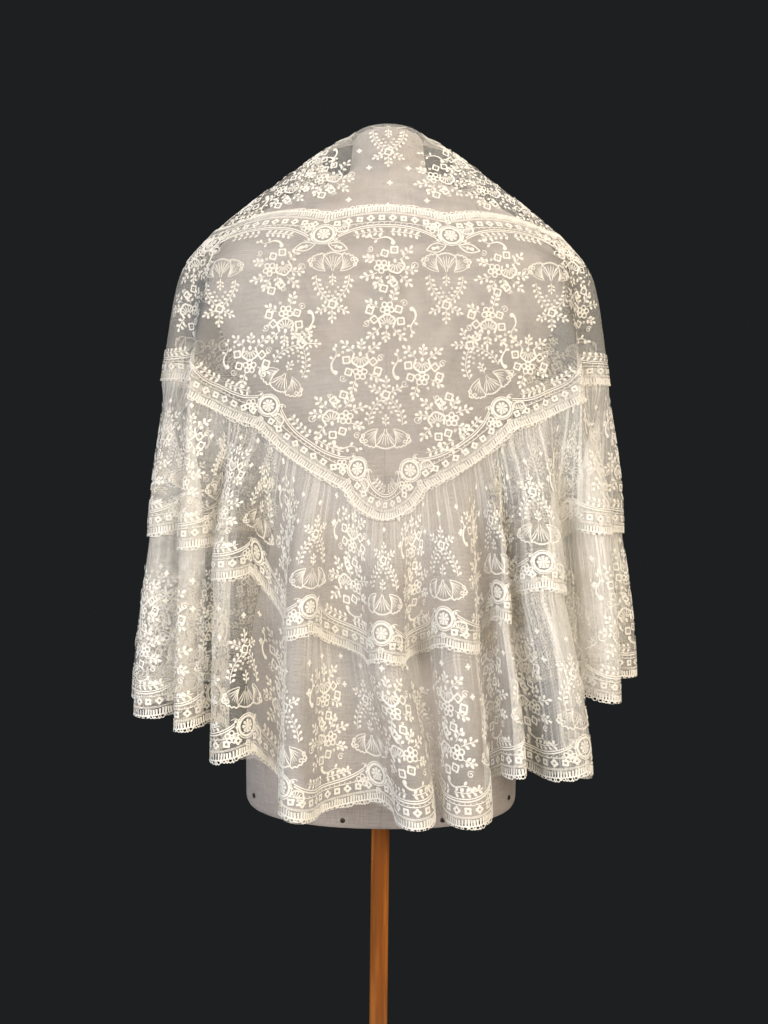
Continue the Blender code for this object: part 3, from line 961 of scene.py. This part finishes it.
def border_chart(repeat, rise, lenses):
    """One repeat of the border, its cusp at x 0 and its scallop tips at y 0."""
    made = Chart()

    def edge(x):
        return rise * (1 - abs(math.sin(math.pi * x / repeat)))

    def band(offset, width):
        made.line(curve(41, lambda share: (repeat * share, edge(repeat * share) + offset)), width)

    # Picot edge and the bars over it
    count = round(repeat / 0.0029)
    pitch = repeat / count
    for k in range(count):
        x = (k + 0.5) * pitch
        low = edge(x)
        odd = math.sin(7.3 * k) * 0.0006
        made.line([(x, low + 0.0014), (x + odd, low + 0.0088 + odd)], 0.0015 + abs(odd))
        if k % 2 == 0:
            size = 0.0021 + abs(odd)
            made.ring(x, low + 0.0008 - abs(odd), size, 0.0011, sides=9, wave=0.0003, lobes=3, first=k)
            made.dot(x + pitch, low - 0.0002 + 2 * odd, 0.0012)
    band(0.0024, 0.001)
    # Chain of small crosses
    steps = 2 * count
    for phase in (0, 1):
        path = []
        for k in range(steps + 1):
            x = repeat * k / steps
            path.append((x, edge(x) + 0.0098 + 0.0022 * ((k + phase) % 2)))
        made.line(path, 0.0006)
    # Row of four-petalled flowers under a line with small knots
    flowers = round(repeat / 0.0118)
    for k in range(1, flowers):
        x = repeat * k / flowers
        made.ring(x, edge(x) + 0.0172, 0.0038, 0.0025, sides=16, wave=0.0007, first=0.8 * (k % 2))
    band(0.0226, 0.0007)
    for k in range(2 * flowers):
        x = repeat * (k + 0.5) / (2 * flowers)
        made.dot(x, edge(x) + 0.0239, 0.0008, sides=5)
    # Double arc that ends in a scroll at each medallion
    half = repeat / 2
    reach = half - 0.0145

    def bow(x):
        return 0.0135 * (abs(x - half) / reach) ** 2.6

    def bowed(first, last, count, offset):
        xs = np.linspace(first, last, count)
        return [(x, offset + bow(x)) for x in xs]

    made.line(bowed(half - reach, half + reach, 31, 0.0262), 0.0012)
    made.line(bowed(half - reach, half + reach, 31, 0.0286), 0.001)
    for side in (-1, 1):
        x, y = half + side * reach, 0.0397
        made.line(arc(x, y + 0.0022, 0.0046, -90 + side * 10, -90 + side * 230, 10), 0.002, taper=True)
        made.dot(x + side * 0.001, y + 0.004, 0.0016)
    # Two leaf sprigs that follow the arc
    for side in (-1, 1):
        stem = bowed(half + side * 0.003, half + side * 0.0334, 9, 0.0346)
        made.line(stem, 0.0008)
        for k in range(5):
            x, y, aim = along_path(stem, 0.0012 + 0.006 * k)
            for lean in (0.95, -0.95):
                made.stalked(x, y, aim + lean, 0.0012, 0.0046, 0.0031)
    # Medallion with its lenses, rose and shell flower
    made.place(medallion(), 0, 0.0375)
    if lenses:
        made.place(lens(), 0.006, 0.05, turn=0.3)
        made.place(lens(), -0.006, 0.05, turn=math.pi - 0.3)
    made.place(rose(), -0.0175, 0.0285, size=0.85)
    made.place(shell_flower(), 0.0175, 0.0285, size=0.8, turn=-0.9)
    made.place(pansy(0.003), 0.0, 0.0205)
    return made


def floret():
    """A small lozenge flower in the plain net."""
    made = Chart()
    for k in range(4):
        made.oval(0, 0, math.pi * k / 2, 0.0036, 0.00252)
    return made

def thread_mesh(name, parts, finish):
    """One mesh of embroidery from (points, faces) pairs."""
    points, faces, base = [], [], 0
    for some, tris in parts:
        points.append(some)
        faces.append(tris + base)
        base += len(some)
    return mesh_object(name, np.concatenate(points), np.concatenate(faces), finish)


def mesh_object(name, points, faces, finish):
    mesh = bpy.data.meshes.new(name)
    sides = faces.shape[1]
    mesh.vertices.add(len(points))
    mesh.vertices.foreach_set("co", np.ascontiguousarray(points, np.float32).ravel())
    mesh.loops.add(faces.size)
    mesh.loops.foreach_set("vertex_index", np.ascontiguousarray(faces, np.int32).ravel())
    mesh.polygons.add(len(faces))
    mesh.polygons.foreach_set("loop_start", np.arange(0, faces.size, sides, dtype=np.int32))
    mesh.polygons.foreach_set("use_smooth", np.ones(len(faces), bool))
    mesh.update()
    mesh.validate()
    made = bpy.data.objects.new(name, mesh)
    bpy.context.collection.objects.link(made)
    mesh.materials.append(finish)
    return made


def grid_faces(rows, columns):
    index = np.arange(rows * columns).reshape(rows, columns)
    a, b = index[:-1, :-1], index[:-1, 1:]
    d, e = index[1:, :-1], index[1:, 1:]
    return np.stack([a, d, e, b], axis=-1).reshape(-1, 4)


def net_sheet(name, grid, across, down, crowd_and_light, finish):
    """The net of one tier: its points, cloth lengths as its UV, and its crowding with painted light and
    shade.
    """
    rows, columns, _ = grid.shape
    faces = grid_faces(rows, columns)
    made = mesh_object(name, grid.reshape(-1, 3), faces, finish)
    mesh = made.data
    layer = mesh.uv_layers.new(name="cloth")
    uv = np.stack([across, down], axis=-1).reshape(-1, 2)[faces.ravel()]
    layer.data.foreach_set("uv", np.ascontiguousarray(uv, np.float32).ravel())
    shade = mesh.attributes.new("crowd_and_light", "FLOAT", "POINT")
    shade.data.foreach_set("value", np.ascontiguousarray(crowd_and_light, np.float32).ravel())
    return made


def cut_rows(cloth, edge, rows, rise):
    """The grid with the rows beside one edge drawn in by the scallops' rise."""
    grid = cloth.grid.copy()
    span = np.abs(cloth.down - cloth.down[edge])
    inner = edge + rows if edge == 0 else cloth.rows - 1 - rows
    width = span[inner]
    order = range(0, rows) if edge == 0 else range(cloth.rows - rows, cloth.rows)
    for r in order:
        share = span[r] / width
        wanted = rise + (width - rise) * share
        table = span[: inner + 1] if edge == 0 else span[inner:][::-1]
        base = cloth.grid[: inner + 1] if edge == 0 else cloth.grid[inner:][::-1]
        k = np.clip((wanted / (width / rows)).astype(int), 0, rows - 1)
        index = np.arange(cloth.columns)
        low, high = table[k, index], table[k + 1, index]
        t = ((wanted - low) / (high - low))[:, None]
        grid[r] = base[k, index] * (1 - t) + base[k + 1, index] * t
    return grid


# Materials
def colour(code):
    """Linear colour of an sRGB hex code."""
    parts = [int(code[k : k + 2], 16) / 255 for k in (0, 2, 4)]
    linear = [c / 12.92 if c <= 0.04045 else ((c + 0.055) / 1.055) ** 2.4 for c in parts]
    return (*linear, 1.0)


class Paint:
    """A material, with short calls for the nodes that it is made of."""

    def __init__(self, name):
        self.material = bpy.data.materials.new(name)
        self.material.use_nodes = True
        self.nodes = self.material.node_tree.nodes
        self.shader = self.nodes["Principled BSDF"]
        self.place = self.nodes.new("ShaderNodeTexCoord").outputs["Object"]

    def feed(self, socket, given):
        if isinstance(given, (int, float, tuple)):
            socket.default_value = given
        else:
            self.material.node_tree.links.new(given, socket)

    def set(self, name, given):
        self.feed(self.shader.inputs[name], given)

    def maths(self, kind, *values):
        node = self.nodes.new("ShaderNodeMath")
        node.operation = kind
        for socket, value in zip(node.inputs, values):
            self.feed(socket, value)
        return node.outputs[0]

    def vector(self, kind, first, second):
        node = self.nodes.new("ShaderNodeVectorMath")
        node.operation = kind
        self.feed(node.inputs[0], first)
        self.feed(node.inputs[1], second)
        return node.outputs["Value" if kind == "DOT_PRODUCT" else "Vector"]

    def noise(self, vector, scale, detail=2.0, rough=0.5):
        node = self.nodes.new("ShaderNodeTexNoise")
        names = ("Vector", "Scale", "Detail", "Roughness")
        for name, given in zip(names, (vector, scale, detail, rough)):
            self.feed(node.inputs[name], given)
        return node.outputs["Fac"]

    def grain(self, stretch, detail=2.0, rough=0.6):
        """Noise drawn out along the axes where the stretch is small."""
        return self.noise(self.vector("MULTIPLY", self.place, stretch), 1.0, detail, rough)

    def ramp(self, value, low, high, first=0.0, last=1.0):
        node = self.nodes.new("ShaderNodeMapRange")
        node.interpolation_type = "SMOOTHSTEP"
        names = ("Value", "From Min", "From Max", "To Min", "To Max")
        for name, given in zip(names, (value, low, high, first, last)):
            self.feed(node.inputs[name], given)
        return node.outputs["Result"]

    def blend(self, share, first, second):
        """A blend of two colours, each a hex code or an output."""
        node = self.nodes.new("ShaderNodeMix")
        node.data_type = "RGBA"
        self.feed(node.inputs["Factor"], share)
        for name, given in (("A", first), ("B", second)):
            socket = [s for s in node.inputs if s.name == name and s.type == "RGBA"][0]
            self.feed(socket, colour(given) if isinstance(given, str) else given)
        return [s for s in node.outputs if s.type == "RGBA"][0]

    def bump(self, height, strength, distance):
        node = self.nodes.new("ShaderNodeBump")
        names = ("Strength", "Distance", "Height")
        for name, given in zip(names, (strength, distance, height)):
            self.feed(node.inputs[name], given)
        self.set("Normal", node.outputs["Normal"])

    def finish(self, tone, rough, sheen=0.0):
        self.set("Base Color", tone)
        self.set("Roughness", rough)
        self.set("Sheen Weight", sheen)
        return self.material


def net_material():
    """Cream cotton bobbin net, matt, thicker to the eye where it is gathered, and made thicker or thinner
    by place as painted light and shade.
    """
    paint = Paint("Cream cotton net")
    uv = paint.nodes.new("ShaderNodeUVMap")
    uv.uv_map = "cloth"
    cloth = uv.outputs["UV"]
    # Three sets of waves make a hexagonal mesh
    wave = 4 * math.pi / (math.sqrt(3) * NET_PITCH)
    total = 0.0
    for turn in (90, 210, 330):
        angle = math.radians(turn)
        across = paint.vector("DOT_PRODUCT", cloth, (wave * math.cos(angle), wave * math.sin(angle), 0))
        total = paint.maths("ADD", paint.maths("COSINE", across), total)
    node = paint.nodes.new("ShaderNodeAttribute")
    node.attribute_name = "crowd_and_light"
    crowd_and_light = node.outputs["Fac"]
    # Gathers: streaks down the cloth where its crowding is high
    streak = paint.noise(paint.vector("MULTIPLY", cloth, (240, 4, 0)), 1.0, 3.0, 0.6)
    strong = paint.maths("MULTIPLY_ADD", paint.ramp(streak, 0.47, 0.68), 1.5, 0.35)
    more = paint.maths("MULTIPLY", crowd_and_light, strong)
    threshold = paint.maths("MULTIPLY_ADD", more, 0.75, -1.12)
    low = paint.maths("ADD", threshold, NET_SOFT)
    high = paint.maths("SUBTRACT", threshold, NET_SOFT)
    paint.set("Alpha", paint.ramp(total, high, low, 1.0, 0.03))
    shade = paint.ramp(paint.noise(paint.place, 9.0, 3.0), 0.35, 0.7)
    paint.bump(paint.maths("MULTIPLY", crowd_and_light, streak), 0.8, 0.004)
    return paint.finish(paint.blend(shade, "E9E3D6", "F1ECE2"), 0.92, 0.12)


def thread_material(name, dull, clean):
    """Embroidery cotton in satin stitch, soft low lustre."""
    paint = Paint(name)
    shade = paint.ramp(paint.noise(paint.place, 14.0, 3.0), 0.32, 0.72)
    strands = paint.noise(paint.place, 1500.0, 2.0, 0.6)
    fleck = paint.ramp(strands, 0.3, 0.62)
    paint.bump(strands, 0.6, 0.0006)
    return paint.finish(paint.blend(fleck, "CFC6B4", paint.blend(shade, dull, clean)), 0.74, 0.2)


def linen_material():
    """Grey plain-weave linen cover, a little soiled and rubbed, with a back seam."""
    paint = Paint("Grey linen cover")
    weave = paint.maths("ADD", paint.grain((1900, 1900, 60)), paint.grain((60, 60, 1900)))
    cloud = paint.ramp(paint.noise(paint.place, 6.0, 4.0, 0.6), 0.3, 0.72)
    cloth = paint.blend(paint.ramp(weave, 0.7, 1.3), "8B8178", paint.blend(cloud, "A2988F", "B5ABA1"))
    split = paint.nodes.new("ShaderNodeSeparateXYZ")
    paint.feed(split.inputs[0], paint.place)
    off = paint.maths("ABSOLUTE", split.outputs["X"])
    behind = paint.ramp(split.outputs["Y"], -0.02, -0.01, 1.0, 0.0)
    seam = paint.maths("MULTIPLY", paint.ramp(off, 0.0004, 0.0013, 1.0, 0.0), behind)
    paint.bump(paint.maths("MULTIPLY_ADD", seam, -1.0, weave), 0.35, 0.0005)
    return paint.finish(paint.blend(paint.maths("MULTIPLY", seam, 0.2), cloth, "5E554D"), 0.88, 0.15)


def wood_material(name, stretch, fine):
    """Orange-brown hardwood under satin varnish, its grain along the turning."""
    paint = Paint(name)
    grain = paint.grain(stretch, 5.0, 0.62)
    pores = paint.grain(fine, 2.0, 0.5)
    tone = paint.blend(paint.ramp(grain, 0.36, 0.56), "7A4418", "B26A2C")
    tone = paint.blend(paint.ramp(grain, 0.52, 0.72), tone, "CB8540")
    tone = paint.blend(paint.ramp(pores, 0.58, 0.72, 0.0, 0.5), tone, "7A4418")
    paint.set("Coat Weight", 0.4)
    paint.set("Coat Roughness", 0.15)
    paint.bump(pores, 0.15, 0.0003)
    return paint.finish(tone, paint.ramp(grain, 0.3, 0.7, 0.34, 0.24))


def iron_material():
    """Dark oxidised tack heads, lighter and darker in random spots."""
    paint = Paint("Dark iron tacks")
    spots = paint.noise(paint.place, 900.0, 3.0)
    paint.set("Metallic", 0.8)
    tone = paint.blend(paint.ramp(spots, 0.35, 0.7), "2A2420", "4A3F36")
    return paint.finish(tone, paint.ramp(spots, 0.3, 0.7, 0.6, 0.4))


def floor_material():
    """Pale plaster floor."""
    paint = Paint("Pale studio floor")
    cloud = paint.noise(paint.place, 3.0, 4.0)
    return paint.finish(paint.blend(cloud, "D9D6D0", "E3E0DA"), 0.85)


# Dress form
def loft(name, rings, finish):
    """A closed solid through rings of equal point counts, lowest first."""
    rings = np.array(rings)
    count, sides, _ = rings.shape
    ends = np.array([rings[0].mean(axis=0), rings[-1].mean(axis=0)])
    points = np.concatenate([rings.reshape(-1, 3), ends])
    k = np.arange(sides)
    n = (k + 1) % sides
    faces = []
    for r in range(count - 1):
        a, b = r * sides + k, r * sides + n
        faces.append(np.stack([a, b, b + sides], axis=1))
        faces.append(np.stack([a, b + sides, a + sides], axis=1))
    low, high = count * sides, count * sides + 1
    faces.append(np.stack([np.full(sides, low), n, k], axis=1))
    last = (count - 1) * sides
    faces.append(np.stack([np.full(sides, high), last + k, last + n], axis=1))
    return mesh_object(name, points, np.concatenate(faces), finish)


def dress_form_piece(finish):
    turns = np.linspace(0, 2 * math.pi, FORM_SIDES, endpoint=False)
    heights = [FORM[0, 0]]
    for low, high in zip(FORM[:-1, 0], FORM[1:, 0]):
        heights += list(np.linspace(low, high, FORM_ROWS_A_SECTION + 1)[1:])
    rings = []
    for height in heights:
        flat = ring_point(turns, *ring_at(FORM, height))
        rings.append(np.concatenate([flat, np.full((FORM_SIDES, 1), height)], axis=1))
    return loft("dress_form_cover", rings, finish)


def tack_heads(finish):
    """Domed tack heads along the lower edge of the cover, back and front."""
    turns = np.linspace(-math.pi, math.pi, 7201)
    points, faces, base = [], [], 0
    for back in (True, False):
        for x, height in NAILS:
            sizes = ring_at(FORM, height)
            ring = ring_point(turns, *sizes)
            side = (np.cos(turns) > 0) == back
            k = np.argmin(np.abs(ring[:, 0] - x) + np.where(side, 0, 9))
            at = np.array([ring[k, 0], ring[k, 1], height])
            out = np.append(ring_outward(turns[k : k + 1], sizes)[0], 0.0)
            along = np.array([-out[1], out[0], 0.0])
            for t in np.linspace(0, math.pi / 2, NAIL_ROWS + 1)[:-1]:
                r = NAIL_RADIUS * math.cos(t)
                lift = NAIL_DOME[0] + NAIL_DOME[1] * math.sin(t)
                for s in np.linspace(0, 2 * math.pi, NAIL_SIDES, endpoint=False):
                    place = at + along * r * math.cos(s) + np.array([0, 0, r * math.sin(s)])
                    points.append(place + out * lift)
            points.append(at + out * sum(NAIL_DOME))
            for row in range(NAIL_ROWS):
                for s in range(NAIL_SIDES):
                    a = base + row * NAIL_SIDES + s
                    b = base + row * NAIL_SIDES + (s + 1) % NAIL_SIDES
                    if row + 1 < NAIL_ROWS:
                        faces += [(a, b, b + NAIL_SIDES), (a, b + NAIL_SIDES, a + NAIL_SIDES)]
                    else:
                        faces.append((a, b, base + NAIL_ROWS * NAIL_SIDES))
            base = len(points)
    return mesh_object("tack_heads", np.array(points), np.array(faces), finish)


def flounce_crowd_and_light(name, cloth, place):
    """For each point of a flounce its length from the hem, and how far the net there is
    pushed together: at the seam, in the gathers and in the overlapped flanks. The right
    flank is made much denser as painted light, and the left side thinner as painted shade."""
    down = cloth.down[-1] - cloth.down
    steps = np.array([np.gradient(cloth.along(r)) for r in range(cloth.rows)])
    tight = np.clip(steps[-1] / np.maximum(steps, 1e-5) - 1, 0, 1.5)
    share = down / down.max(axis=0)
    seam = np.clip((share - CROWD_SEAM_FROM) / (1 - CROWD_SEAM_FROM), 0, 1) ** 0.9
    side = np.abs(place[0])
    begun = np.clip((side - CROWD_FLANK[0]) / (CROWD_FLANK[1] - CROWD_FLANK[0]), 0, 1)
    ended = np.clip((side - CROWD_FLANK[2]) / (CROWD_FLANK[3] - CROWD_FLANK[2]), 0, 1)
    # Painted light: the right flank's much higher density brightens the side where the light falls.
    right = CROWD_RIGHT_AND_LIGHT[name] * np.clip(share + CROWD_AT_HEM[name], 0, 1)
    flank = begun * (1 - ended) * np.where(place[0] > 0, right, CROWD_LEFT)
    # Painted shade: the net thins towards the left from a place onwards, darkening that side.
    painted_shade = CROWD_LEFT_PAINTED_SHADE[name] * np.clip((CROWD_LEFT_SHADE_FROM - place[0]) / 0.06, 0, 1)
    return down, np.clip(0.22 * tight + 0.5 * seam + flank - painted_shade, *CROWD_LIMITS)


def net_pieces(body, collar, flounces):
    """The nets of the four tiers, by name."""
    net = net_material()
    pieces = {}
    along = np.repeat(collar.along(-1)[None], collar.rows, axis=0)
    steps = np.array([np.gradient(collar.along(r)) for r in range(collar.rows)])
    # Painted shade: the constant 0.15 thins the whole collar's net, darkening the top tier under the
    # strong top light.
    crowd_and_light = np.clip(steps[-1] / steps - 1, 0, 1.2) * 0.20 - 0.15
    pieces["collar"] = net_sheet("collar_net", collar.grid, along, collar.down, crowd_and_light, net)

    low_edge = np.abs(body.along(-1))
    top_arch = arches(body.along(0) + TOP_REPEAT / 2, TOP_REPEAT)
    narrow = arches(low_edge + LOW_CUSP, 2 * LOW_CUSP)
    low_arch = np.where(low_edge < LOW_CUSP, narrow, arches(low_edge - LOW_CUSP, LOW_REPEAT))
    grid = cut_rows(body, 0, BODY_BANDS[0], top_arch * SCALLOP_RISE)
    low_cut = cut_rows(body, -1, BODY_BANDS[2], low_arch * SCALLOP_RISE)
    grid[-1 - BODY_BANDS[2] :] = low_cut[-1 - BODY_BANDS[2] :]
    along = np.array([body.along(r) for r in range(body.rows)])
    down = body.down.max() - body.down
    pieces["body"] = net_sheet("body_net", grid, along, down, np.zeros(along.shape), net)

    for name, cloth, place in flounces:
        arch = arches(place[4], place[4][-1] / round(place[4][-1] / REPEAT))
        grid = cut_rows(cloth, -1, FLOUNCE_BANDS[1], arch * SCALLOP_RISE)
        along = np.repeat(cloth.along(-1)[None], cloth.rows, axis=0)
        down, crowd_and_light = flounce_crowd_and_light(name, cloth, place)
        pieces[name] = net_sheet(f"flounce_{name}_net", grid, along, down, crowd_and_light, net)
    return pieces


# Embroidery on the cloth
def kept(faces, x, low, high):
    """The faces whose corners all have an x from low to high."""
    return faces[((x >= low) & (x <= high))[faces].all(axis=1)]


def flounce_embroidery(name, cloth, place, finish):
    hem = cloth.along(-1)
    length = place[4][-1]
    repeats = round(length / REPEAT)
    repeat = length / repeats
    scale = (hem[-1] - hem[0]) / length
    chart = Chart()
    chart.place(border_chart(repeat, SCALLOP_RISE, False))
    chart.place(fan_chart(), 0, FLOUNCE_MOTIFS[0])
    chart.place(bouquet_one(), repeat / 2, FLOUNCE_MOTIFS[1])
    chart.place(bouquet_two(), repeat / 2, FLOUNCE_MOTIFS[2])
    for x, y in FLOUNCE_FLORETS:
        chart.place(floret(), x, y)
    points, faces = chart.arrays()
    parts = []
    for k in range(repeats):
        x = (points[:, 0] + k * repeat) * scale
        placed = cloth.from_edge(-1, hem[0] + x, points[:, 1], points[:, 2])
        parts.append((placed, kept(faces, x, 0, length * scale)))
    return thread_mesh(f"flounce_{name}_embroidery", parts, finish)


def photo_place(cloth, px, py):
    """Arc length and height on the back of the cloth where the camera sees a pixel."""
    turns = TURNS[:: 2 if cloth.columns < len(TURNS) else 1]
    back = np.abs(turns) < BACK_HALF
    points = cloth.grid.reshape(-1, 3)
    depth = points[:, 1] - CAMERA_AT[1]
    right = points[:, 0] / depth * PIXELS_A_UNIT
    up = (points[:, 2] - CAMERA_AT[2]) / depth * PIXELS_A_UNIT
    roll = math.sin(math.radians(CAMERA_ROLL))
    off_x = FRAME_MIDDLE[0] + right - roll * up - px
    off_y = FRAME_MIDDLE[1] - up - roll * right - py
    hidden = np.where(np.tile(back, cloth.rows), 0, np.inf)
    x, _, z = points[np.argmin(np.hypot(off_x, off_y) + hidden)]
    _, length, xs = cloth.table[cloth.level_index(z)]
    return float(np.interp(x, xs[back], length[back])), float(z)


def lay(cloth, chart, at, z, turn):
    """A motif whose origin is at an arc length and height of the cloth."""
    placed = Chart()
    placed.place(chart, turn=turn)
    points, faces = placed.arrays()
    up = z + points[:, 1]
    where = cloth.at_level(at + points[:, 0], up, points[:, 2])
    return where, kept(faces, up, 0, COLLAR_TOP[0][1] - 0.002)


def lay_motifs(cloth, shown, sides):
    """The motifs that the photo shows, by pixel, then those of both sides."""
    charts = {"one": bouquet_one(), "two": bouquet_two(), "fan": fan_chart(), "floret": floret()}
    parts = []
    for name, turn, lift, pixels in shown:
        for px, py in pixels:
            at, z = photo_place(cloth, px, py)
            parts.append(lay(cloth, charts[name], at, z + lift, turn))
    for side in (-1, 1):
        for name, at, z in sides:
            parts.append(lay(cloth, charts[name], side * at, z, math.pi))
    return parts


def hem_places(body):
    """A call that gives points by their length along the body's hem and their distance
    from it, measured at a right angle on the cloth laid out by arc length and height."""
    low = body.along(-1)
    heights = body.grid[-1, :, 2]
    level = np.array([body.table[body.level_index(heights[c])][1][c] for c in body.index])
    window = np.ones(HEM_WINDOW) / HEM_WINDOW
    slopes = []
    for values in (level, heights):
        even = np.convolve(np.pad(values, HEM_WINDOW // 2, mode="edge"), window, mode="valid")
        slopes.append(np.gradient(even))
    norm = np.hypot(*slopes)
    inward = (-slopes[1] / norm, slopes[0] / norm)

    def place(s, d, h):
        aim = np.array([np.interp(s, low, part) for part in inward])
        aim /= np.linalg.norm(aim, axis=0)
        across = np.interp(s, low, level) + aim[0] * d
        up = np.interp(s, low, heights) + aim[1] * d
        return body.at_level(across, up, h)

    return place


def body_embroidery(body, finish):
    parts = []
    # Upper border, from the first row downwards
    top = body.along(0)
    points, faces = border_chart(TOP_REPEAT, SCALLOP_RISE, True).arrays()
    first = math.floor((top[0] - TOP_REPEAT / 2) / TOP_REPEAT)
    last = math.ceil(top[-1] / TOP_REPEAT)
    for k in range(first, last + 1):
        x = points[:, 0] + TOP_REPEAT / 2 + k * TOP_REPEAT
        shown = kept(faces, x, top[0], top[-1])
        if len(shown):
            parts.append((body.from_edge(0, x, points[:, 1], points[:, 2]), shown[:, ::-1]))
    # Lower border, a narrow repeat at the centre and wide ones to both sides
    low = body.along(-1)
    place = hem_places(body)
    narrow = border_chart(2 * LOW_CUSP, SCALLOP_RISE, False).arrays()
    wide = border_chart(LOW_REPEAT, SCALLOP_RISE, False).arrays()
    starts = [(-LOW_CUSP, narrow)]
    for k in range(math.ceil((low[-1] - LOW_CUSP) / LOW_REPEAT)):
        starts.append((LOW_CUSP + k * LOW_REPEAT, wide))
        starts.append((-LOW_CUSP - (k + 1) * LOW_REPEAT, wide))
    for start, (points, faces) in starts:
        x = points[:, 0] + start
        shown = kept(faces, x, low[0], low[-1])
        if len(shown):
            parts.append((place(x, points[:, 1], points[:, 2]), shown))
    parts += lay_motifs(body, BODY_MOTIFS, BODY_SIDES)
    return thread_mesh("body_embroidery", parts, finish)


def collar_embroidery(collar, finish):
    parts = []
    seam = collar.along(-1)
    repeat = (seam[-1] - seam[0]) / COLLAR_REPEATS
    points, faces = border_chart(repeat, 0.0, False).arrays()
    for k in range(COLLAR_REPEATS):
        x = seam[0] + points[:, 0] + k * repeat
        at = np.interp(np.interp(x, seam, collar.index), collar.index, collar.along(0))
        placed = collar.from_edge(0, at, points[:, 1], points[:, 2])
        parts.append((placed, kept(faces, x, seam[0], seam[-1])[:, ::-1]))
    parts += lay_motifs(collar, COLLAR_MOTIFS, COLLAR_SIDES)
    return thread_mesh("collar_embroidery", parts, finish)


def cloth_pieces():
    """The net and the embroidery of each tier, by name."""
    centre = float(np.interp(0.0, UPPER[0], np.arange(len(TURNS))))
    body_points = body_grid()
    body_out = grid_normals(body_points)
    collar_points = collar_grid(body_points, body_out)
    upper_points = flounce_grid(body_points, body_out, BODY_BANDS[2], UPPER, UPPER_RING, UPPER_SWELL)
    upper_out = grid_normals(upper_points)
    lower_points = flounce_grid(upper_points, upper_out, FLOUNCE_BANDS[1], LOWER, LOWER_RING, LOWER_SWELL)
    body = Cloth(body_points, centre)
    collar = Cloth(collar_points, centre / 2)
    upper = Cloth(gathered(upper_points, UPPER[4]), centre)
    lower = Cloth(gathered(lower_points, LOWER[4]), centre)
    flounces = (("upper", upper, UPPER), ("lower", lower, LOWER))

    pieces = net_pieces(body, collar, flounces)
    thread = thread_material("Cream embroidery cotton", "E2DCCE", "ECE7DB")
    flounce_thread = thread_material("White embroidery cotton", "EFEADD", "F8F5EC")
    for name, cloth, place in flounces:
        pieces[f"{name}_thread"] = flounce_embroidery(name, cloth, place, flounce_thread)
    body.measure_levels()
    pieces["body_thread"] = body_embroidery(body, thread)
    collar.measure_levels()
    pieces["collar_thread"] = collar_embroidery(collar, thread)
    return pieces


def build():
    made = cloth_pieces()
    tiers = (
        ("collar", "collar_flounce"),
        ("body", "body"),
        ("upper", "flounce_upper"),
        ("lower", "flounce_lower"),
    )
    for name, node in tiers:
        for piece in (made[name], made[f"{name}_thread"]):
            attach(piece, "root")
        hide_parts(node)

    form = dress_form_piece(linen_material())
    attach(form, "root")
    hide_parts("dress_form")
    tacks = tack_heads(iron_material())
    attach(tacks, "root")

    woods = {
        "pole": wood_material("Varnished pole wood", (46, 46, 2.2), (420, 420, 9)),
        "foot": wood_material("Varnished foot wood", (60, 7, 60), (420, 24, 420)),
    }
    for node, finish in woods.items():
        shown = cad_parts[node]
        shown.data.materials.clear()
        shown.data.materials.append(finish)


def studio():
    """A small pale floor, dark surroundings, soft lamps and the photo's camera."""
    floor = bpy.data.meshes.new("studio_floor")
    turns = [2 * math.pi * k / FLOOR_SIDES for k in range(FLOOR_SIDES)]
    rim = [(FLOOR_RADIUS * math.cos(t), FLOOR_RADIUS * math.sin(t), 0.0) for t in turns]
    floor.from_pydata(rim, [], [tuple(range(FLOOR_SIDES))])
    ground = bpy.data.objects.new("studio_floor", floor)
    bpy.context.collection.objects.link(ground)
    floor.materials.append(floor_material())

    world = bpy.data.worlds.new("studio")
    world.use_nodes = True
    shade = world.node_tree.nodes["Background"]
    shade.inputs["Color"].default_value = colour(SURROUNDINGS)
    shade.inputs["Strength"].default_value = 1.0
    scene = bpy.context.scene
    scene.world = world
    scene.view_settings.view_transform = "Standard"

    for name, at, size, power, tint in LAMPS:
        data = bpy.data.lights.new(name, "AREA")
        data.size = size
        data.energy = power
        data.color = colour(tint)[:3]
        lamp = bpy.data.objects.new(name, data)
        bpy.context.collection.objects.link(lamp)
        lamp.location = at
        aim = np.array(LAMP_AIM) - np.array(at)
        turn = math.atan2(aim[0], -aim[1])
        tilt = math.acos(-aim[2] / np.linalg.norm(aim))
        lamp.rotation_euler = (tilt, 0.0, turn + math.pi)
        lamp.visible_camera = False

    data = bpy.data.cameras.new("camera")
    data.lens = CAMERA_LENS
    data.sensor_width = 36
    data.sensor_fit = "AUTO"
    data.clip_start = 0.01
    camera = bpy.data.objects.new("camera", data)
    bpy.context.collection.objects.link(camera)
    camera.location = CAMERA_AT
    camera.rotation_euler = (math.pi / 2, math.radians(CAMERA_ROLL), 0.0)
    scene.camera = camera


build()
studio()
